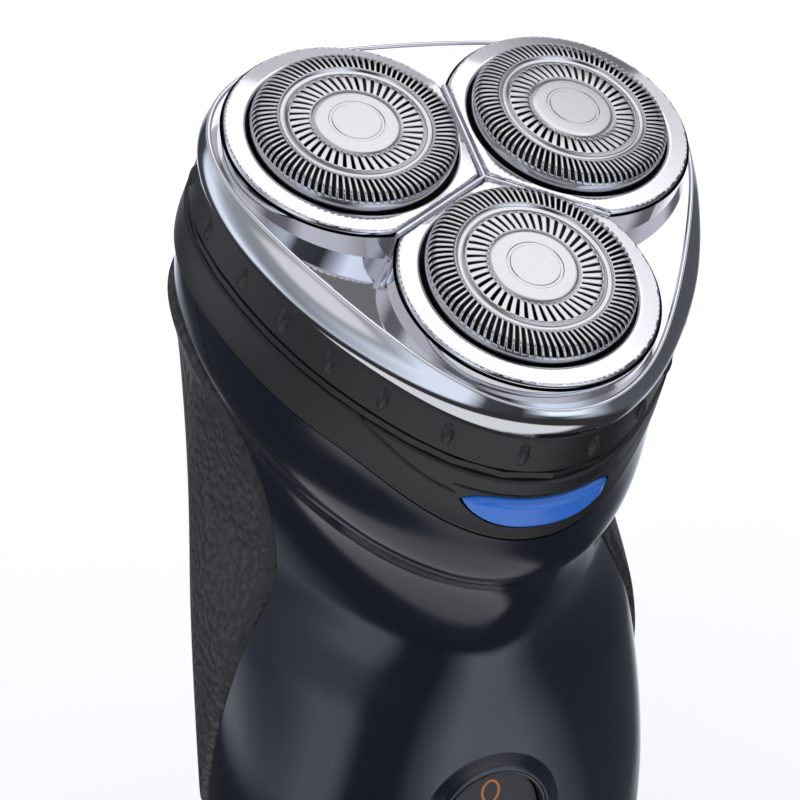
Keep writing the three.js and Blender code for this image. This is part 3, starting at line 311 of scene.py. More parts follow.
def carve(target, points, faces):
    """Cuts a closed solid, given in mm, out of a piece."""
    tool = solid("cutter", points, faces)
    change = target.modifiers.new("cut", "BOOLEAN")
    change.operation, change.solver, change.object = "DIFFERENCE", "EXACT", tool
    bpy.context.view_layer.update()
    seen = target.evaluated_get(bpy.context.evaluated_depsgraph_get())
    result = bpy.data.meshes.new_from_object(seen)
    target.modifiers.clear()
    target.data = result
    result.set_sharp_from_angle(angle=math.radians(35))
    bpy.data.objects.remove(tool)


def prism(outline, y0, y1):
    """A closed outline of (x, z) points pushed along Y, as points and faces."""
    count = len(outline)
    points = [(x, y, z) for y in (y0, y1) for x, z in outline]
    faces = [(i, (i + 1) % count, count + (i + 1) % count, count + i) for i in range(count)]
    faces += [tuple(range(count)), tuple(range(2 * count - 1, count - 1, -1))]
    return points, faces


def block(lo, hi):
    """A box between two corners, as points and faces."""
    outline = [(lo[0], lo[2]), (hi[0], lo[2]), (hi[0], hi[2]), (lo[0], hi[2])]
    return prism(outline, lo[1], hi[1])


# ---- Outline and handle --------------------------------------------------------------------------
def head_radius(turn):
    """The head's outline: its radius at an angle from the front."""
    wave = mm("head_wave") * np.cos(3 * turn) + mm("head_ripple") * np.cos(6 * turn)
    return mm("head_radius") + wave


def barrel(stations, y, z, count=48):
    """A turned barrel along X, from its (x, radius) stations, as points and faces."""
    a = np.linspace(0, 2 * math.pi, count, endpoint=False)
    rings = [
        np.stack([np.full(count, x), y + r * np.cos(a), z + r * np.sin(a)], -1) for x, r in stations
    ]
    last = len(stations) * count
    ends = [tuple(range(count)), tuple(range(last - 1, last - count - 1, -1))]
    return np.concatenate(rings), grid_faces(len(stations), count) + ends


def flare(z):
    """How far the collar stands off the head's outline at a height: it widens downward."""
    return 0.1 * np.maximum(0, mm("band_foot") - z) - 0.3


def head_points(turn, radius, z):
    """Points of the head's frame from angles, radii and heights."""
    return np.stack([radius * np.sin(turn), -radius * np.cos(turn), z * np.ones_like(turn)], -1)


def ease(a, b, x):
    """Rises smoothly from 0 at a to 1 at b."""
    share = np.clip((x - a) / (b - a), 0, 1)
    return share * share * (3 - 2 * share)


def neck_edge(turn):
    """Lower edge of the neck collar, dipping under the button."""
    around = np.abs(np.arctan2(np.sin(turn), np.cos(turn)))
    dip = 1 - ease(0, DIP_TURN, around)
    return mm("neck_side") + (mm("neck_front") - mm("neck_side")) * dip


# The handle's rings, from the base up: front (y, z), rear (y, z), half width, share of the depth
# where it's widest, squareness in front and behind, and share of the head's outline in it.
SECTIONS = [
    ((-13.5, 0), (13.5, 0), 18, 0.5, (2.3, 2.3), 0),
    ((-17.2, 2), (17, 2), 22.4, 0.5, (2.3, 2.3), 0),
    ((-19, 8), (18.8, 8), 25.6, 0.5, (2.3, 2.3), 0),
    ((-20.8, 24), (20.6, 24), 28.6, 0.5, (2.3, 2.3), 0),
    ((-22, 44), (21.8, 46), 30.8, 0.52, (2.3, 2.3), 0),
    ((-22.6, 64), (23, 70), 31.4, 0.56, (2.3, 2.4), 0),
    ((-21.6, 80), (24.6, 92), 30.4, 0.66, (2.1, 2.8), 0),
    ((-20.2, 92), (26.4, 110), 28.6, 0.83, (1.85, 3.4), 0),
    ((-22.6, 101), (27.6, 125), 29.4, 0.84, (1.8, 3.6), 0.12),
    ((-27.6, 105.5), (27.4, 138), 31.8, 0.8, (1.95, 3.2), 0.5),
]
COLS = 288
TURNS = np.linspace(0, 2 * math.pi, COLS, endpoint=False)
SPLIT_Y = 2.4
DIP_TURN = math.radians(46)  # how far round from the front the neck's edge and seam dip


def case_ring(front, rear, half, widest, square, share):
    """One ring of the handle, in mm."""
    front, rear = np.array(front, float), np.array(rear, float)
    depth = np.linalg.norm(rear - front)
    along = (rear - front) / depth
    s, c = np.sin(TURNS), np.cos(TURNS)
    # The squareness changes over the widest line gradually, so the sides have no crease.
    blend = ease(-0.35, 0.35, c)
    n = square[1] + (square[0] - square[1]) * blend
    reach = depth * np.where(c > 0, widest, 1 - widest)
    oval = (np.abs(s / half) ** n + np.abs(c / reach) ** n) ** (-1 / n)
    outline = head_radius(TURNS)
    front_r, back_r, side_r = (float(head_radius(np.array(a))) for a in (0, math.pi, math.pi / 2))
    lobe = depth / (front_r + back_r)
    x = (1 - share) * oval * s + share * outline * half / side_r * s
    y = (1 - share) * (depth * widest - oval * c) + share * (front_r - outline * c) * lobe
    return np.stack([x, front[0] + along[0] * y, front[1] + along[1] * y], -1)


class Case:
    """The handle's and neck's outer surface, a smooth skin through its rings."""

    def __init__(self, rows=640):
        rings = [case_ring(*section) for section in SECTIONS]
        for z in (mm("neck_side"), mm("neck_top")):
            ring = head_points(TURNS, head_radius(TURNS) + flare(np.array(z)), z)
            rings.append(from_head(ring))
        keys = np.array(rings)
        steps = np.linalg.norm(np.diff(keys, axis=0), axis=2).mean(axis=1)
        at = np.concatenate([[0], np.cumsum(steps)])
        slopes = np.gradient(keys, at, axis=0)
        self.at = np.linspace(0, at[-1], rows)
        k = np.clip(np.searchsorted(at, self.at, side="right") - 1, 0, len(at) - 2)
        h = (at[k + 1] - at[k])[:, None, None]
        u = ((self.at - at[k]) / (at[k + 1] - at[k]))[:, None, None]
        self.skin = (
            (2 * u**3 - 3 * u**2 + 1) * keys[k]
            + (u**3 - 2 * u**2 + u) * h * slopes[k]
            + (3 * u**2 - 2 * u**3) * keys[k + 1]
            + (u**3 - u**2) * h * slopes[k + 1]
        )
        across = np.roll(self.skin, -1, axis=1) - np.roll(self.skin, 1, axis=1)
        up = np.gradient(self.skin, axis=0)
        normal = np.cross(across, up)
        self.normal = normal / np.linalg.norm(normal, axis=2, keepdims=True)
        height = to_head(self.skin)[:, :, 2]
        edge = neck_edge(TURNS)
        start = rows // 2
        self.edge = np.array(
            [np.interp(edge[i], height[start:, i], self.at[start:]) for i in range(COLS)]
        )
        faces = grid_faces(rows // 2, COLS)
        self.tree = BVHTree.FromPolygons(
            [tuple(p) for p in self.skin[::2].reshape(-1, 3)], faces
        )

    def points(self, along, offset):
        """Points at a length up each column, moved off the skin by an offset."""
        out = np.empty((len(along), COLS, 3))
        for i in range(COLS):
            for c in range(3):
                place = np.interp(along[:, i], self.at, self.skin[:, i, c])
                lift = np.interp(along[:, i], self.at, self.normal[:, i, c])
                out[:, i, c] = place + lift * offset
        return out

    def hit(self, origin, direction):
        """Where a line first meets the skin, and the skin's outward normal there."""
        place, normal, _, _ = self.tree.ray_cast(Vector(origin), Vector(direction))
        if place is None:
            raise RuntimeError(f"no skin in front of {tuple(origin)}")
        if normal.dot(Vector(direction)) > 0:
            normal = -normal
        return np.array(place), np.array(normal)


def the_case():
    """The handle's skin, made once."""
    if not hasattr(the_case, "made"):
        the_case.made = Case()
    return the_case.made


def stadium(half, low, top, count=96, grow=0.0):
    """An upright oval of straight sides and round ends, as (x, z) points."""
    out = []
    for k in range(count):
        a = 2 * math.pi * k / count
        middle = top if math.sin(a) >= 0 else low
        out.append(((half + grow) * math.cos(a), middle + (half + grow) * math.sin(a)))
    return out


SWITCH_HALF, SWITCH_TOP, SWITCH_LOW = 7.1, 66.7, 54.7
NOUGHT_Z = 70.2
WALL = 1.6
TRIMMER_BOX = ((-12.4, 20.8, 99.0), (12.4, 40.0, 132.6))


def crescent(grow=0.0, count=33):
    """The release button's half widths, lower edge and upper edge, in the head's X and Z."""
    half = 9.3 + grow
    s = np.linspace(-1, 1, count)
    top = -21.0 + grow + 1.6 * (1 - np.abs(s) ** 6)
    foot = -21.0 - grow - 3.0 * (1 - np.abs(s) ** 4)
    return half * s, foot, top


# ---- Operators -----------------------------------------------------------------------------------
class SHAVER_OT_shells(bpy.types.Operator):
    """Front and rear halves of the glossy handle"""

    bl_idname = "shaver.shells"
    bl_label = "Handle Shells"

    def execute(self, context):
        case = the_case()
        rows = 230
        share = np.linspace(0, 1, rows)[:, None]
        skin = case.points(share * (case.edge - 0.25), 0.0)
        flat = [skin[0] * (k, k, 1) for k in (0.02, 0.5)]
        skin = np.concatenate([np.array(flat), skin])
        rows += 2
        faces = grid_faces(rows, COLS) + [tuple(range(COLS))]
        halves = (("front_case", -1, "front_shell"), ("rear_case", 1, "rear_shell"))
        for name, sign, node_name in halves:
            half = piece(name, skin.reshape(-1, 3), faces, "handle", "navy", [node_name])
            bm = bmesh.new()
            bm.from_mesh(half.data)
            at = (0, (SPLIT_Y + sign * 0.08) * MM, 0)
            every = bm.verts[:] + bm.edges[:] + bm.faces[:]
            bmesh.ops.bisect_plane(
                bm, geom=every, plane_co=at, plane_no=(0, -sign, 0), clear_outer=True
            )
            bmesh.ops.recalc_face_normals(bm, faces=bm.faces)
            bmesh.ops.solidify(bm, geom=bm.faces[:], thickness=WALL * MM)
            bmesh.ops.recalc_face_normals(bm, faces=bm.faces)
            bm.to_mesh(half.data)
            bm.free()
            soften(half.data, 35)
            if sign < 0:
                carve(half, *prism(stadium(SWITCH_HALF, SWITCH_LOW, SWITCH_TOP), -40, -12))
                _, middle, _ = corners("charge_lens")
                lens_hole = stadium(1.6, middle[2], middle[2], 32)
                carve(half, *prism(lens_hole, -40, -12))
            else:
                carve(half, *block(*TRIMMER_BOX))
                lo, _, hi = corners("trimmer_catch")
                carve(half, *block(lo - (0.3, 1, 0.3), (hi[0] + 0.3, 45, hi[2] + 2.3)))
                lo, _, hi = corners("inlet_socket")
                carve(half, *block((lo[0] - 0.2, lo[1] - 0.2, -3), (hi[0] + 0.2, hi[1] + 0.2, 8)))
                for side in ("left", "right", "top"):
                    _, middle, hi = corners(f"case_screw_{side}")
                    ring = [(middle[0] + u, middle[2] + v) for u, v in stadium(2.9, 0, 0, 32)]
                    carve(half, *prism(ring, hi[1] - 0.5, 45))
        return {"FINISHED"}


class SHAVER_OT_recesses(bpy.types.Operator):
    """Tub that the trimmer folds into"""

    bl_idname = "shaver.recesses"
    bl_label = "Trimmer Tub"

    def execute(self, context):
        (x0, y0, z0), (x1, _, z1) = TRIMMER_BOX
        points, faces = [], []
        walls = [
            ((x0 - 1, y0 - 1.4, z0 - 1), (x1 + 1, y0 - 0.4, z1 + 1)),
            ((x0 - 1, y0 - 1.4, z0 - 1), (x0 - 0.05, y0 + 3, z1 + 1)),
            ((x1 + 0.05, y0 - 1.4, z0 - 1), (x1 + 1, y0 + 3, z1 + 1)),
        ]
        for lo, hi in walls:
            more, sides = block(lo, hi)
            faces += [tuple(k + len(points) for k in f) for f in sides]
            points += more
        piece("trimmer_tub", points, faces, "handle", "navy", sharp=20)
        return {"FINISHED"}


SEAM_DEPTH = 0.37


class SHAVER_OT_neck(bpy.types.Operator):
    """Satin neck collar under the head"""

    bl_idname = "shaver.neck"
    bl_label = "Neck Collar"

    def execute(self, context):
        case = the_case()
        top = case.at[-1]
        rows, offsets = [], []
        for back, lift in ((0.0, -1.6), (0.0, -0.15), (0.06, 0.1), (0.22, 0.22)):
            rows.append(case.edge + back)
            offsets.append(lift)
        for share in np.linspace(0.04, 0.97, 130):
            rows.append(case.edge + (top - case.edge) * share)
            offsets.append(0.24)
        for back, lift in ((0.22, 0.2), (0.06, 0.05), (0.0, -0.15), (0.0, -1.6)):
            rows.append(np.full(COLS, top - back))
            offsets.append(lift)
        along = np.array(rows)
        skin = np.array([case.points(along[k : k + 1], o)[0] for k, o in enumerate(offsets)])
        # A seam leaves the collar's top on each side and dips to the corners over the button.
        around = np.abs(np.arctan2(np.sin(TURNS), np.cos(TURNS)))
        corner_turn, corner_z = math.radians(18.6), -18.9
        seam = mm("neck_top") - 3.6 * (1 - ease(math.radians(17), DIP_TURN, around))
        seam = np.where(around < corner_turn, corner_z, seam)
        in_head = to_head(skin)
        away = np.abs(in_head[:, :, 2] - seam)
        shrink = 1 - SEAM_DEPTH / mm("head_radius")
        inward = from_head(in_head * (shrink, shrink, 1)) - skin
        depth = np.where(around < DIP_TURN, ease(0.24, 0.06, away), 0)
        skin = skin + inward * depth[:, :, None]
        faces = grid_faces(len(rows), COLS, ring=True)
        collar = piece("neck", skin.reshape(-1, 3), faces, "handle", "black", ["neck_collar"])
        x, foot, high = crescent(0.25)
        outline = list(zip(x, foot)) + list(zip(x[::-1], high[::-1]))
        keep, cut = prism(outline, -60, -20)
        carve(collar, from_head(keep), cut)
        # The hinge's lugs, as in the solids: barrels on webs that rise from the collar's back.
        _, (_, y, z), _ = corners("hinge_pin")
        axle = to_head((0, y, z))
        for side in (-1, 1):
            ends = ((4.4, 1.45), (4.55, 1.6), (8.25, 1.6), (8.4, 1.45))
            lug, faces = barrel([(x * side, r) for x, r in ends], y, z)
            piece(f"hinge_lug_{side}", lug, faces, "handle", "black")
            near, far = sorted((4.4 * side, 8.4 * side))
            web, faces = block((near, 27.6, axle[2] - 4.6), (far, axle[1] + 1.3, axle[2] + 0.2))
            piece(f"hinge_web_{side}", from_head(web), faces, "handle", "black", sharp=20)
        return {"FINISHED"}


class SHAVER_OT_button(bpy.types.Operator):
    """Blue crescent release button"""

    bl_idname = "shaver.button"
    bl_label = "Release Button"

    def execute(self, context):
        case = the_case()
        x, foot, top = crescent(0.0, 81)
        shares = np.concatenate([[0, 0], np.linspace(0, 1, 27), [1, 1]])
        points = []
        for j, share in enumerate(shares):
            for i in range(len(x)):
                z = foot[i] + (top[i] - foot[i]) * share
                # The face swells from its edge; the first and last rows go back into the collar.
                upright = 1 - abs(2 * share - 1)
                sideways = 1 - abs(2 * i / (len(x) - 1) - 1)
                edge = min(upright, sideways * 2.5)
                lift = 1 - (1 - min(edge * 2.2, 1)) ** 2.4
                if j in (0, len(shares) - 1):
                    lift = -1.6
                place, _ = case.hit(from_head((x[i], -60, z)), HEAD_Y)
                points.append(place - HEAD_Y * lift)
        faces = grid_faces(len(shares), len(x), wrap=False)
        back = [tuple(range(len(x)))[::-1]]
        piece("button_face", points, faces + back, "button", "blue", ["release_button"], sharp=60)
        return {"FINISHED"}


GRIP_ROUND = 1.6


class SHAVER_OT_grips(bpy.types.Operator):
    """Leather-grained grip on each side"""

    bl_idname = "shaver.grips"
    bl_label = "Grips"

    def execute(self, context):
        case = the_case()
        tip, top = np.array((6.0, 56.0)), np.array((19.0, 136.0))
        front, rear = np.array((-17.0, 102.0)), np.array((30.0, 96.0))

        def bow(pull, s):
            """A point on the edge that bows from the tip past a pull point to the top."""
            return (1 - s) ** 2 * tip + 2 * s * (1 - s) * pull + s * s * top

        along = np.linspace(0.004, 0.996, 170)
        across = np.linspace(0, 1, 64)
        proud = mm("grip_proud")
        for side, sign in (("left", -1), ("right", 1)):
            rows = []
            for s in along:
                a, b = bow(front, s), bow(rear, s)
                width = np.linalg.norm(b - a)
                row = []
                for t in np.concatenate([[0], across, [1]]):
                    y, z = a + (b - a) * t
                    place, normal = case.hit((sign * 90, y, z), (-sign, 0, 0))
                    inset = min(t, 1 - t) * width
                    ends = min(s, 1 - s) * (top[1] - tip[1])
                    edge = min(inset, ends, GRIP_ROUND) / GRIP_ROUND
                    row.append(place + normal * (proud * (1 - (1 - edge) ** 2.2) + 0.05))
                row[0] = row[1] - case.hit((sign * 90, *a), (-sign, 0, 0))[1] * 1.2
                row[-1] = row[-2] - case.hit((sign * 90, *b), (-sign, 0, 0))[1] * 1.2
                rows.append(row)
            count = len(rows[0])
            points = np.array(rows).reshape(-1, 3)
            faces = grid_faces(len(rows), count, wrap=False)
            piece(
                f"grip_{side}_skin", points, faces, "handle", "rubber", [f"grip_{side}"], sharp=70
            )
        return {"FINISHED"}


class SHAVER_OT_switch(bpy.types.Operator):
    """Raised rim round the switch, and its printed figure"""

    bl_idname = "shaver.switch"
    bl_label = "Switch"

    def execute(self, context):
        case = the_case()
        # How far out from the opening, and how far off the skin, in mm.
        profile = [(-0.05, -3.2), (-0.05, 0.3), (0.1, 0.7), (0.45, 0.9), (0.9, 0.88)]
        profile += [(1.4, 0.62), (2.0, 0.26), (2.6, 0.02), (2.9, -0.15)]
        rows = []
        for grow, lift in profile:
            row = []
            for x, z in stadium(SWITCH_HALF, SWITCH_LOW, SWITCH_TOP, 160, grow):
                place, _ = case.hit((x, -90, z), (0, 1, 0))
                row.append((x, place[1] - lift, z))
            rows.append(row)
        faces = grid_faces(len(rows), 160)
        piece("switch_rim", np.array(rows).reshape(-1, 3), faces, "handle", "navy", sharp=60)
        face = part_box("switch_plate")[0][1] / MM
        a = np.linspace(0, 2 * math.pi, 64, endpoint=False)
        ink_face = face - 0.04
        inside, outside = (1.0, 1.5), (1.35, 1.85)
        rings = [
            np.stack([w * np.cos(a), np.full(64, y), NOUGHT_Z + h * np.sin(a)], -1)
            for (w, h), y in (
                (inside, face), (inside, ink_face), (outside, ink_face), (outside, face)
            )
        ]
        faces = grid_faces(4, 64, ring=True)
        mark = piece("figure_nought", np.concatenate(rings), faces, "handle", "grey")
        ink = finish("grey").copy()
        ink.name = "Orange ink, pad printed"
        shade = next(n for n in ink.node_tree.nodes if n.type == "MIX")
        tint = linear(bpy.context.scene.shaver_colours.orange)
        shade.inputs[6].default_value = tint
        shade.inputs[7].default_value = tuple(c * INK_SHADE for c in tint[:3]) + (1.0,)
        mark.data.materials[0] = ink
        return {"FINISHED"}


def pods_reach(turn, radius):
    """How far the three lobes' circles reach from the head's middle, at angles from the front."""
    reach = np.zeros_like(turn)
    d = np.stack([np.sin(turn), -np.cos(turn)], -1)
    for letter in LETTERS:
        middle, _ = lobe_middle(letter)
        along = d @ middle
        inside = along**2 - (middle @ middle - radius**2)
        far = along + np.sqrt(np.maximum(inside, 0))
        reach = np.maximum(reach, np.where(inside > 0, far, 0))
    return reach


class SHAVER_OT_head(bpy.types.Operator):
    """Chromed head frame with its scoops and the ribs between the lobes"""

    bl_idname = "shaver.head"
    bl_label = "Head Frame"

    def execute(self, context):
        turn = np.linspace(0, 2 * math.pi, 540, endpoint=False)
        outline = head_radius(turn)
        # The band leans inward most between the lobes.
        inset = 0.5 + 0.9 * (1 - np.cos(3 * turn))
        crest, foot = mm("crest"), mm("band_foot")
        inner = pods_reach(turn, mm("pod_radius") + 0.3)
        crest_r = outline - inset - 0.35
        # A shallow notch is cut into the band's lower edge in front.
        notch = 1 - ease(0.085, 0.11, np.abs(np.arctan2(np.sin(turn), np.cos(turn))))
        rows = [head_points(turn, outline - 2.0, foot + 0.2)]
        rows.append(head_points(turn, outline - 0.35 - 1.4 * notch, foot + 1.1 * notch))
        for b in np.concatenate([[0.0, 0.02, 0.05], np.linspace(0.1, 0.9, 14)]):
            z = foot + 0.15 + (crest - foot - 0.35) * b + notch * 1.1 * (1 - b) ** 8
            bulge = 0.35 * math.sin(math.pi * b)
            hollow = notch * 1.2 * (b < 0.22) + 0.1 * (b == 0)
            rows.append(head_points(turn, outline - inset * b**1.5 + bulge - hollow, z))
        for a in np.linspace(0.1, 0.9, 6):
            r = crest_r + 0.35 * math.cos(math.pi * a)
            rows.append(head_points(turn, r, crest - 0.2 + 0.3 * math.sin(math.pi * a)))
        width = crest_r - 0.35 - inner
        lip = mm("plate_top") - 0.7
        # Inside the crest the frame falls evenly inward, and a wall rises to the lobes' plates.
        for q in np.concatenate([np.linspace(0, 0.97, 40), [0.985]]):
            r = crest_r - 0.35 - width * q
            rows.append(head_points(turn, r, crest - 0.2 - 0.17 * width * q))
        rows.append(head_points(turn, inner, np.full_like(turn, lip)))
        rows.append(head_points(turn, inner - 0.02, lip - 0.2))
        rows.append(head_points(turn, inner - 0.05, foot + 0.4))
        points = from_head(np.array(rows).reshape(-1, 3))
        faces = grid_faces(len(rows), len(turn), ring=True)
        piece("head_shell", points, faces, "head", "chrome", ["head_frame"], sharp=50)
        top = mm("plate_top") + 0.05
        # A rib runs from the head's middle between each pair of lobes.
        for letter in LETTERS:
            _, angle = lobe_middle(letter)
            along = -np.array((math.cos(angle), math.sin(angle)))
            side = np.array((-along[1], along[0]))
            flank = [(0.16, -0.02), (0.32, -0.2), (0.32, -4)]
            section = [(-w, h) for w, h in flank[::-1]] + flank
            bar = [
                (*(along * reach + side * w), top + h) for reach in (0.0, 15.6) for w, h in section
            ]
            sides = grid_faces(2, 6) + [tuple(range(6)), tuple(range(11, 5, -1))]
            piece(f"rib_{letter}", from_head(bar), sides, "head", "chrome", sharp=60)
        return {"FINISHED"}


class SHAVER_OT_lobes(bpy.types.Operator):
    """Chromed plate round each guard"""

    bl_idname = "shaver.lobes"
    bl_label = "Lobe Plates"

    def execute(self, context):
        a = np.linspace(0, 2 * math.pi, 360, endpoint=False)
        top, well = mm("plate_top"), mm("guard_radius") + 0.35
        for letter, side in LETTERS.items():
            middle, _ = lobe_middle(letter)
            others = [lobe_middle(k)[0] - middle for k in LETTERS if k != letter]
            # Flats face the other lobes, with a rib's room between.
            edge = np.full_like(a, mm("pod_radius"))
            for away in others:
                half = np.linalg.norm(away) / 2 - 0.55
                facing = np.cos(a - math.atan2(away[1], away[0]))
                flat = np.where(facing > 0.05, half / np.maximum(facing, 0.05), np.inf)
                edge = np.minimum(edge, flat)
            rows = []
            for r, z in ((well, -4.4), (well, -0.35), (well + 0.08, -0.12), (well + 0.3, 0)):
                rows.append((np.full_like(a, r), np.full_like(a, z)))
            start = well + 0.3
            for q in np.linspace(0.1, 0.85, 8):
                rows.append((start + (edge - start) * q, np.full_like(a, -0.12 * q)))
            # A fine beaded line runs along the plate's outer edge.
            for q, lift in ((0.84, 0.0), (0.89, 0.14), (0.94, 0.0)):
                bead = lift * (np.sin(a * 120) > 0)
                rows.append((start + (edge - start) * q, -0.14 + bead))
            for back, z in ((0.12, -0.2), (0.03, -0.35), (0.0, -0.55), (0.0, -1.25)):
                rows.append((edge - back, np.full_like(a, z)))
            skin = []
            for r, z in rows:
                x, y = middle[0] + r * np.cos(a), middle[1] + r * np.sin(a)
                skin.append(np.stack([x, y, top + z], -1))
            faces = grid_faces(len(rows), len(a), ring=True)
            points = from_head(np.array(skin).reshape(-1, 3))
            name, body = f"lobe_plate_{letter}", f"lobe_{letter}"
            piece(name, points, faces, body, "chrome", [f"pod_{side}"], sharp=50)
        return {"FINISHED"}


class SHAVER_OT_guards(bpy.types.Operator):
    """Slotted steel guard over each cutter"""

    bl_idname = "shaver.guards"
    bl_label = "Cutter Guards"

    def execute(self, context):
        outer, inner = sizes().outer_slots, sizes().inner_slots
        per = 8  # columns for each outer slot
        inner_per = per * outer // inner
        cols = outer * per
        a = np.linspace(0, 2 * math.pi, cols, endpoint=False)
        radius = mm("guard_radius")
        # Radius and height in mm, from the middle out.
        profile = [(0.6, -0.02), (2.2, -0.02), (2.9, -0.02), (3.0, -0.1), (3.3, -0.1), (3.4, -0.02)]
        profile += [(4.6, -0.02), (5.1, -0.03), (5.3, -0.14), (5.45, -0.2), (5.6, -0.16)]
        profile += [(6.2, -0.12), (6.8, -0.12), (7.4, -0.12), (7.95, -0.14)]
        profile += [(8.15, -0.2), (8.35, -0.42), (8.7, -0.52), (9.05, -0.42), (9.2, -0.12)]
        profile += [(9.35, -0.02)]
        profile += [(9.9, 0.0), (10.5, 0.0), (11.1, -0.03)]
        for turn in np.linspace(10, 80, 8):
            t = math.radians(turn)
            profile.append((radius - 1.25 + 1.2 * math.sin(t), -1.25 + 1.2 * math.cos(t)))
        profile += [(radius - 0.03, -1.35), (radius, -1.6), (radius, -2.3), (radius, -4.7)]
        radii = np.array([r for r, _ in profile])
        heights = np.array([z for _, z in profile])
        # Slots slant: each row of the slotted rings is turned a little past the row inside it.
        turned = np.hypot(np.diff(radii), np.diff(heights)) / radii[1:]
        slant = np.cumsum(np.concatenate([[0], turned])) * math.tan(math.radians(13))
        slotted = np.zeros((len(profile) - 1, cols), bool)
        phase = np.arange(cols)
        for j in range(len(profile) - 1):
            if 5.6 <= radii[j] and radii[j + 1] <= 7.95:
                slotted[j] = (phase % inner_per) < inner_per * 0.38
            if 9.35 <= radii[j] and heights[j + 1] >= -1.1:
                slotted[j] = (phase % per) < per * 0.6
        cant = math.tan(math.radians(2))
        every = grid_faces(len(profile), cols)
        for letter, side in LETTERS.items():
            middle, angle = lobe_middle(letter)
            skin = []
            for j, (r, z) in enumerate(profile):
                x, y = r * np.cos(a + slant[j]), r * np.sin(a + slant[j])
                drop = cant * (x * math.cos(angle) + y * math.sin(angle))
                skin.append(np.stack([middle[0] + x, middle[1] + y, z - drop], -1))
            faces = [
                f
                for j, row in enumerate(slotted)
                for i, f in enumerate(every[j * cols : (j + 1) * cols])
                if not row[i]
            ]
            faces.append(tuple(range(cols)))
            points = from_head(np.array(skin).reshape(-1, 3))
            name, body = f"guard_cap_{letter}", f"foil_{letter}"
            made = piece(name, points, faces, body, "steel", [f"guard_{side}"])
            thick = made.modifiers.new("metal", "SOLIDIFY")
            thick.thickness, thick.offset = 0.3 * MM, -1
        return {"FINISHED"}


TICK_HALF_HEIGHT, TICK_HALF_WIDTH = 1.7, 0.6
COLLAR_WALL = 2.4
LATCH_DROP = 5.0


class SHAVER_OT_collar(bpy.types.Operator):
    """Black collar with its row of leaf-shaped ticks"""

    bl_idname = "shaver.collar"
    bl_label = "Ticked Collar"

    def execute(self, context):
        turn = np.linspace(0, 2 * math.pi, 1440, endpoint=False)
        outline = head_radius(turn)
        top, foot = mm("band_foot") - 0.3, mm("collar_foot")
        heights = [top, top - 0.05, top - 0.15] + list(np.linspace(top - 0.3, foot + 0.3, 30))
        heights += [foot + 0.15, foot + 0.05, foot]
        rows = [head_points(turn, outline - COLLAR_WALL, top)]
        # Leaf-shaped ticks stand all round it, apart from those nearest the hinge.
        ticks = [math.radians(7.5 + 15 * k) for k in range(24)]
        ticks = [middle for middle in ticks if abs(middle - math.pi) >= math.radians(18)]
        rounding = (0.3, 0.1, 0.03)
        for k, z in enumerate(heights):
            r = outline + flare(np.array(z))
            from_edge = min(k, len(heights) - 1 - k)
            if from_edge < len(rounding):
                r = r - rounding[from_edge]
            lift = np.zeros_like(turn)
            for middle in ticks:
                away = np.angle(np.exp(1j * (turn - middle))) * outline
                up = (z - (top + foot) / 2) / TICK_HALF_HEIGHT
                lift = np.maximum(lift, 1 - (away / TICK_HALF_WIDTH) ** 2 - up**2)
            rows.append(head_points(turn, r + mm("rib_proud") * np.sqrt(np.maximum(lift, 0)), z))
        rows.append(head_points(turn, outline - COLLAR_WALL, foot))
        points = from_head(np.array(rows).reshape(-1, 3))
        faces = grid_faces(len(rows), len(turn), ring=True)
        piece("collar_ring", points, faces, "head", "black", ["head_collar"], sharp=60)
        # The ledge that carries the chamber, and the latch that the button's hook catches.
        ledge = [
            head_points(turn, outline - inward, top - drop)
            for inward, drop in ((2.35, 2.4), (6.0, 2.4), (6.0, 1.1), (2.35, 1.1))
        ]
        points = from_head(np.array(ledge).reshape(-1, 3))
        faces = grid_faces(len(ledge), len(turn), ring=True)
        piece("collar_ledge", points, faces, "head", "black", sharp=30)
        at = 2.55 - float(head_radius(np.array(0.0)))
        for name, lo, hi in (
            ("latch_tongue", (-3, at, foot - LATCH_DROP), (3, at + 1.2, foot + 1)),
            ("latch_root", (-3, at - 1, foot), (3, at + 1.2, foot + 2)),
        ):
            points, faces = block(lo, hi)
            piece(name, from_head(points), faces, "head", "black", sharp=20)
        # The knuckle between the hinge's lugs.
        _, (_, y, z), _ = corners("hinge_pin")
        axle = to_head((0, y, z))
        points, faces = barrel([(-4.1, 1.45), (-3.95, 1.6), (3.95, 1.6), (4.1, 1.45)], y, z)
        piece("hinge_knuckle", points, faces, "head", "black")
        points, faces = block((-4.1, 26.2, axle[2] + 0.1), (4.1, axle[1] + 0.6, axle[2] + 2.2))
        piece("knuckle_web", from_head(points), faces, "head", "black", sharp=20)
        return {"FINISHED"}


class SHAVER_OT_inner(bpy.types.Operator):
    """Finishes of the pieces that keep the solids' shapes"""

    bl_idname = "shaver.inner"
    bl_label = "Inner Pieces"

    def execute(self, context):
        for name, item in frame["nodes"].items():
            item.data.materials.clear()
            # The blades are drawn darker than the rest of the steel, as painted shade under the
            # guards.
            slot = "shaded_blade" if name.startswith("cutter_blade") else SLOT_OF[name]
            item.data.materials.append(finish(slot))
            # The trimmer's flat faces would streak if they were shaded smooth.
            if name.startswith("trimmer"):
                item.data.shade_flat()
        return {"FINISHED"}


FLOOR_HALF = 6.0  # metres
MIX_COLOURS = {"data_type": "RGBA"}
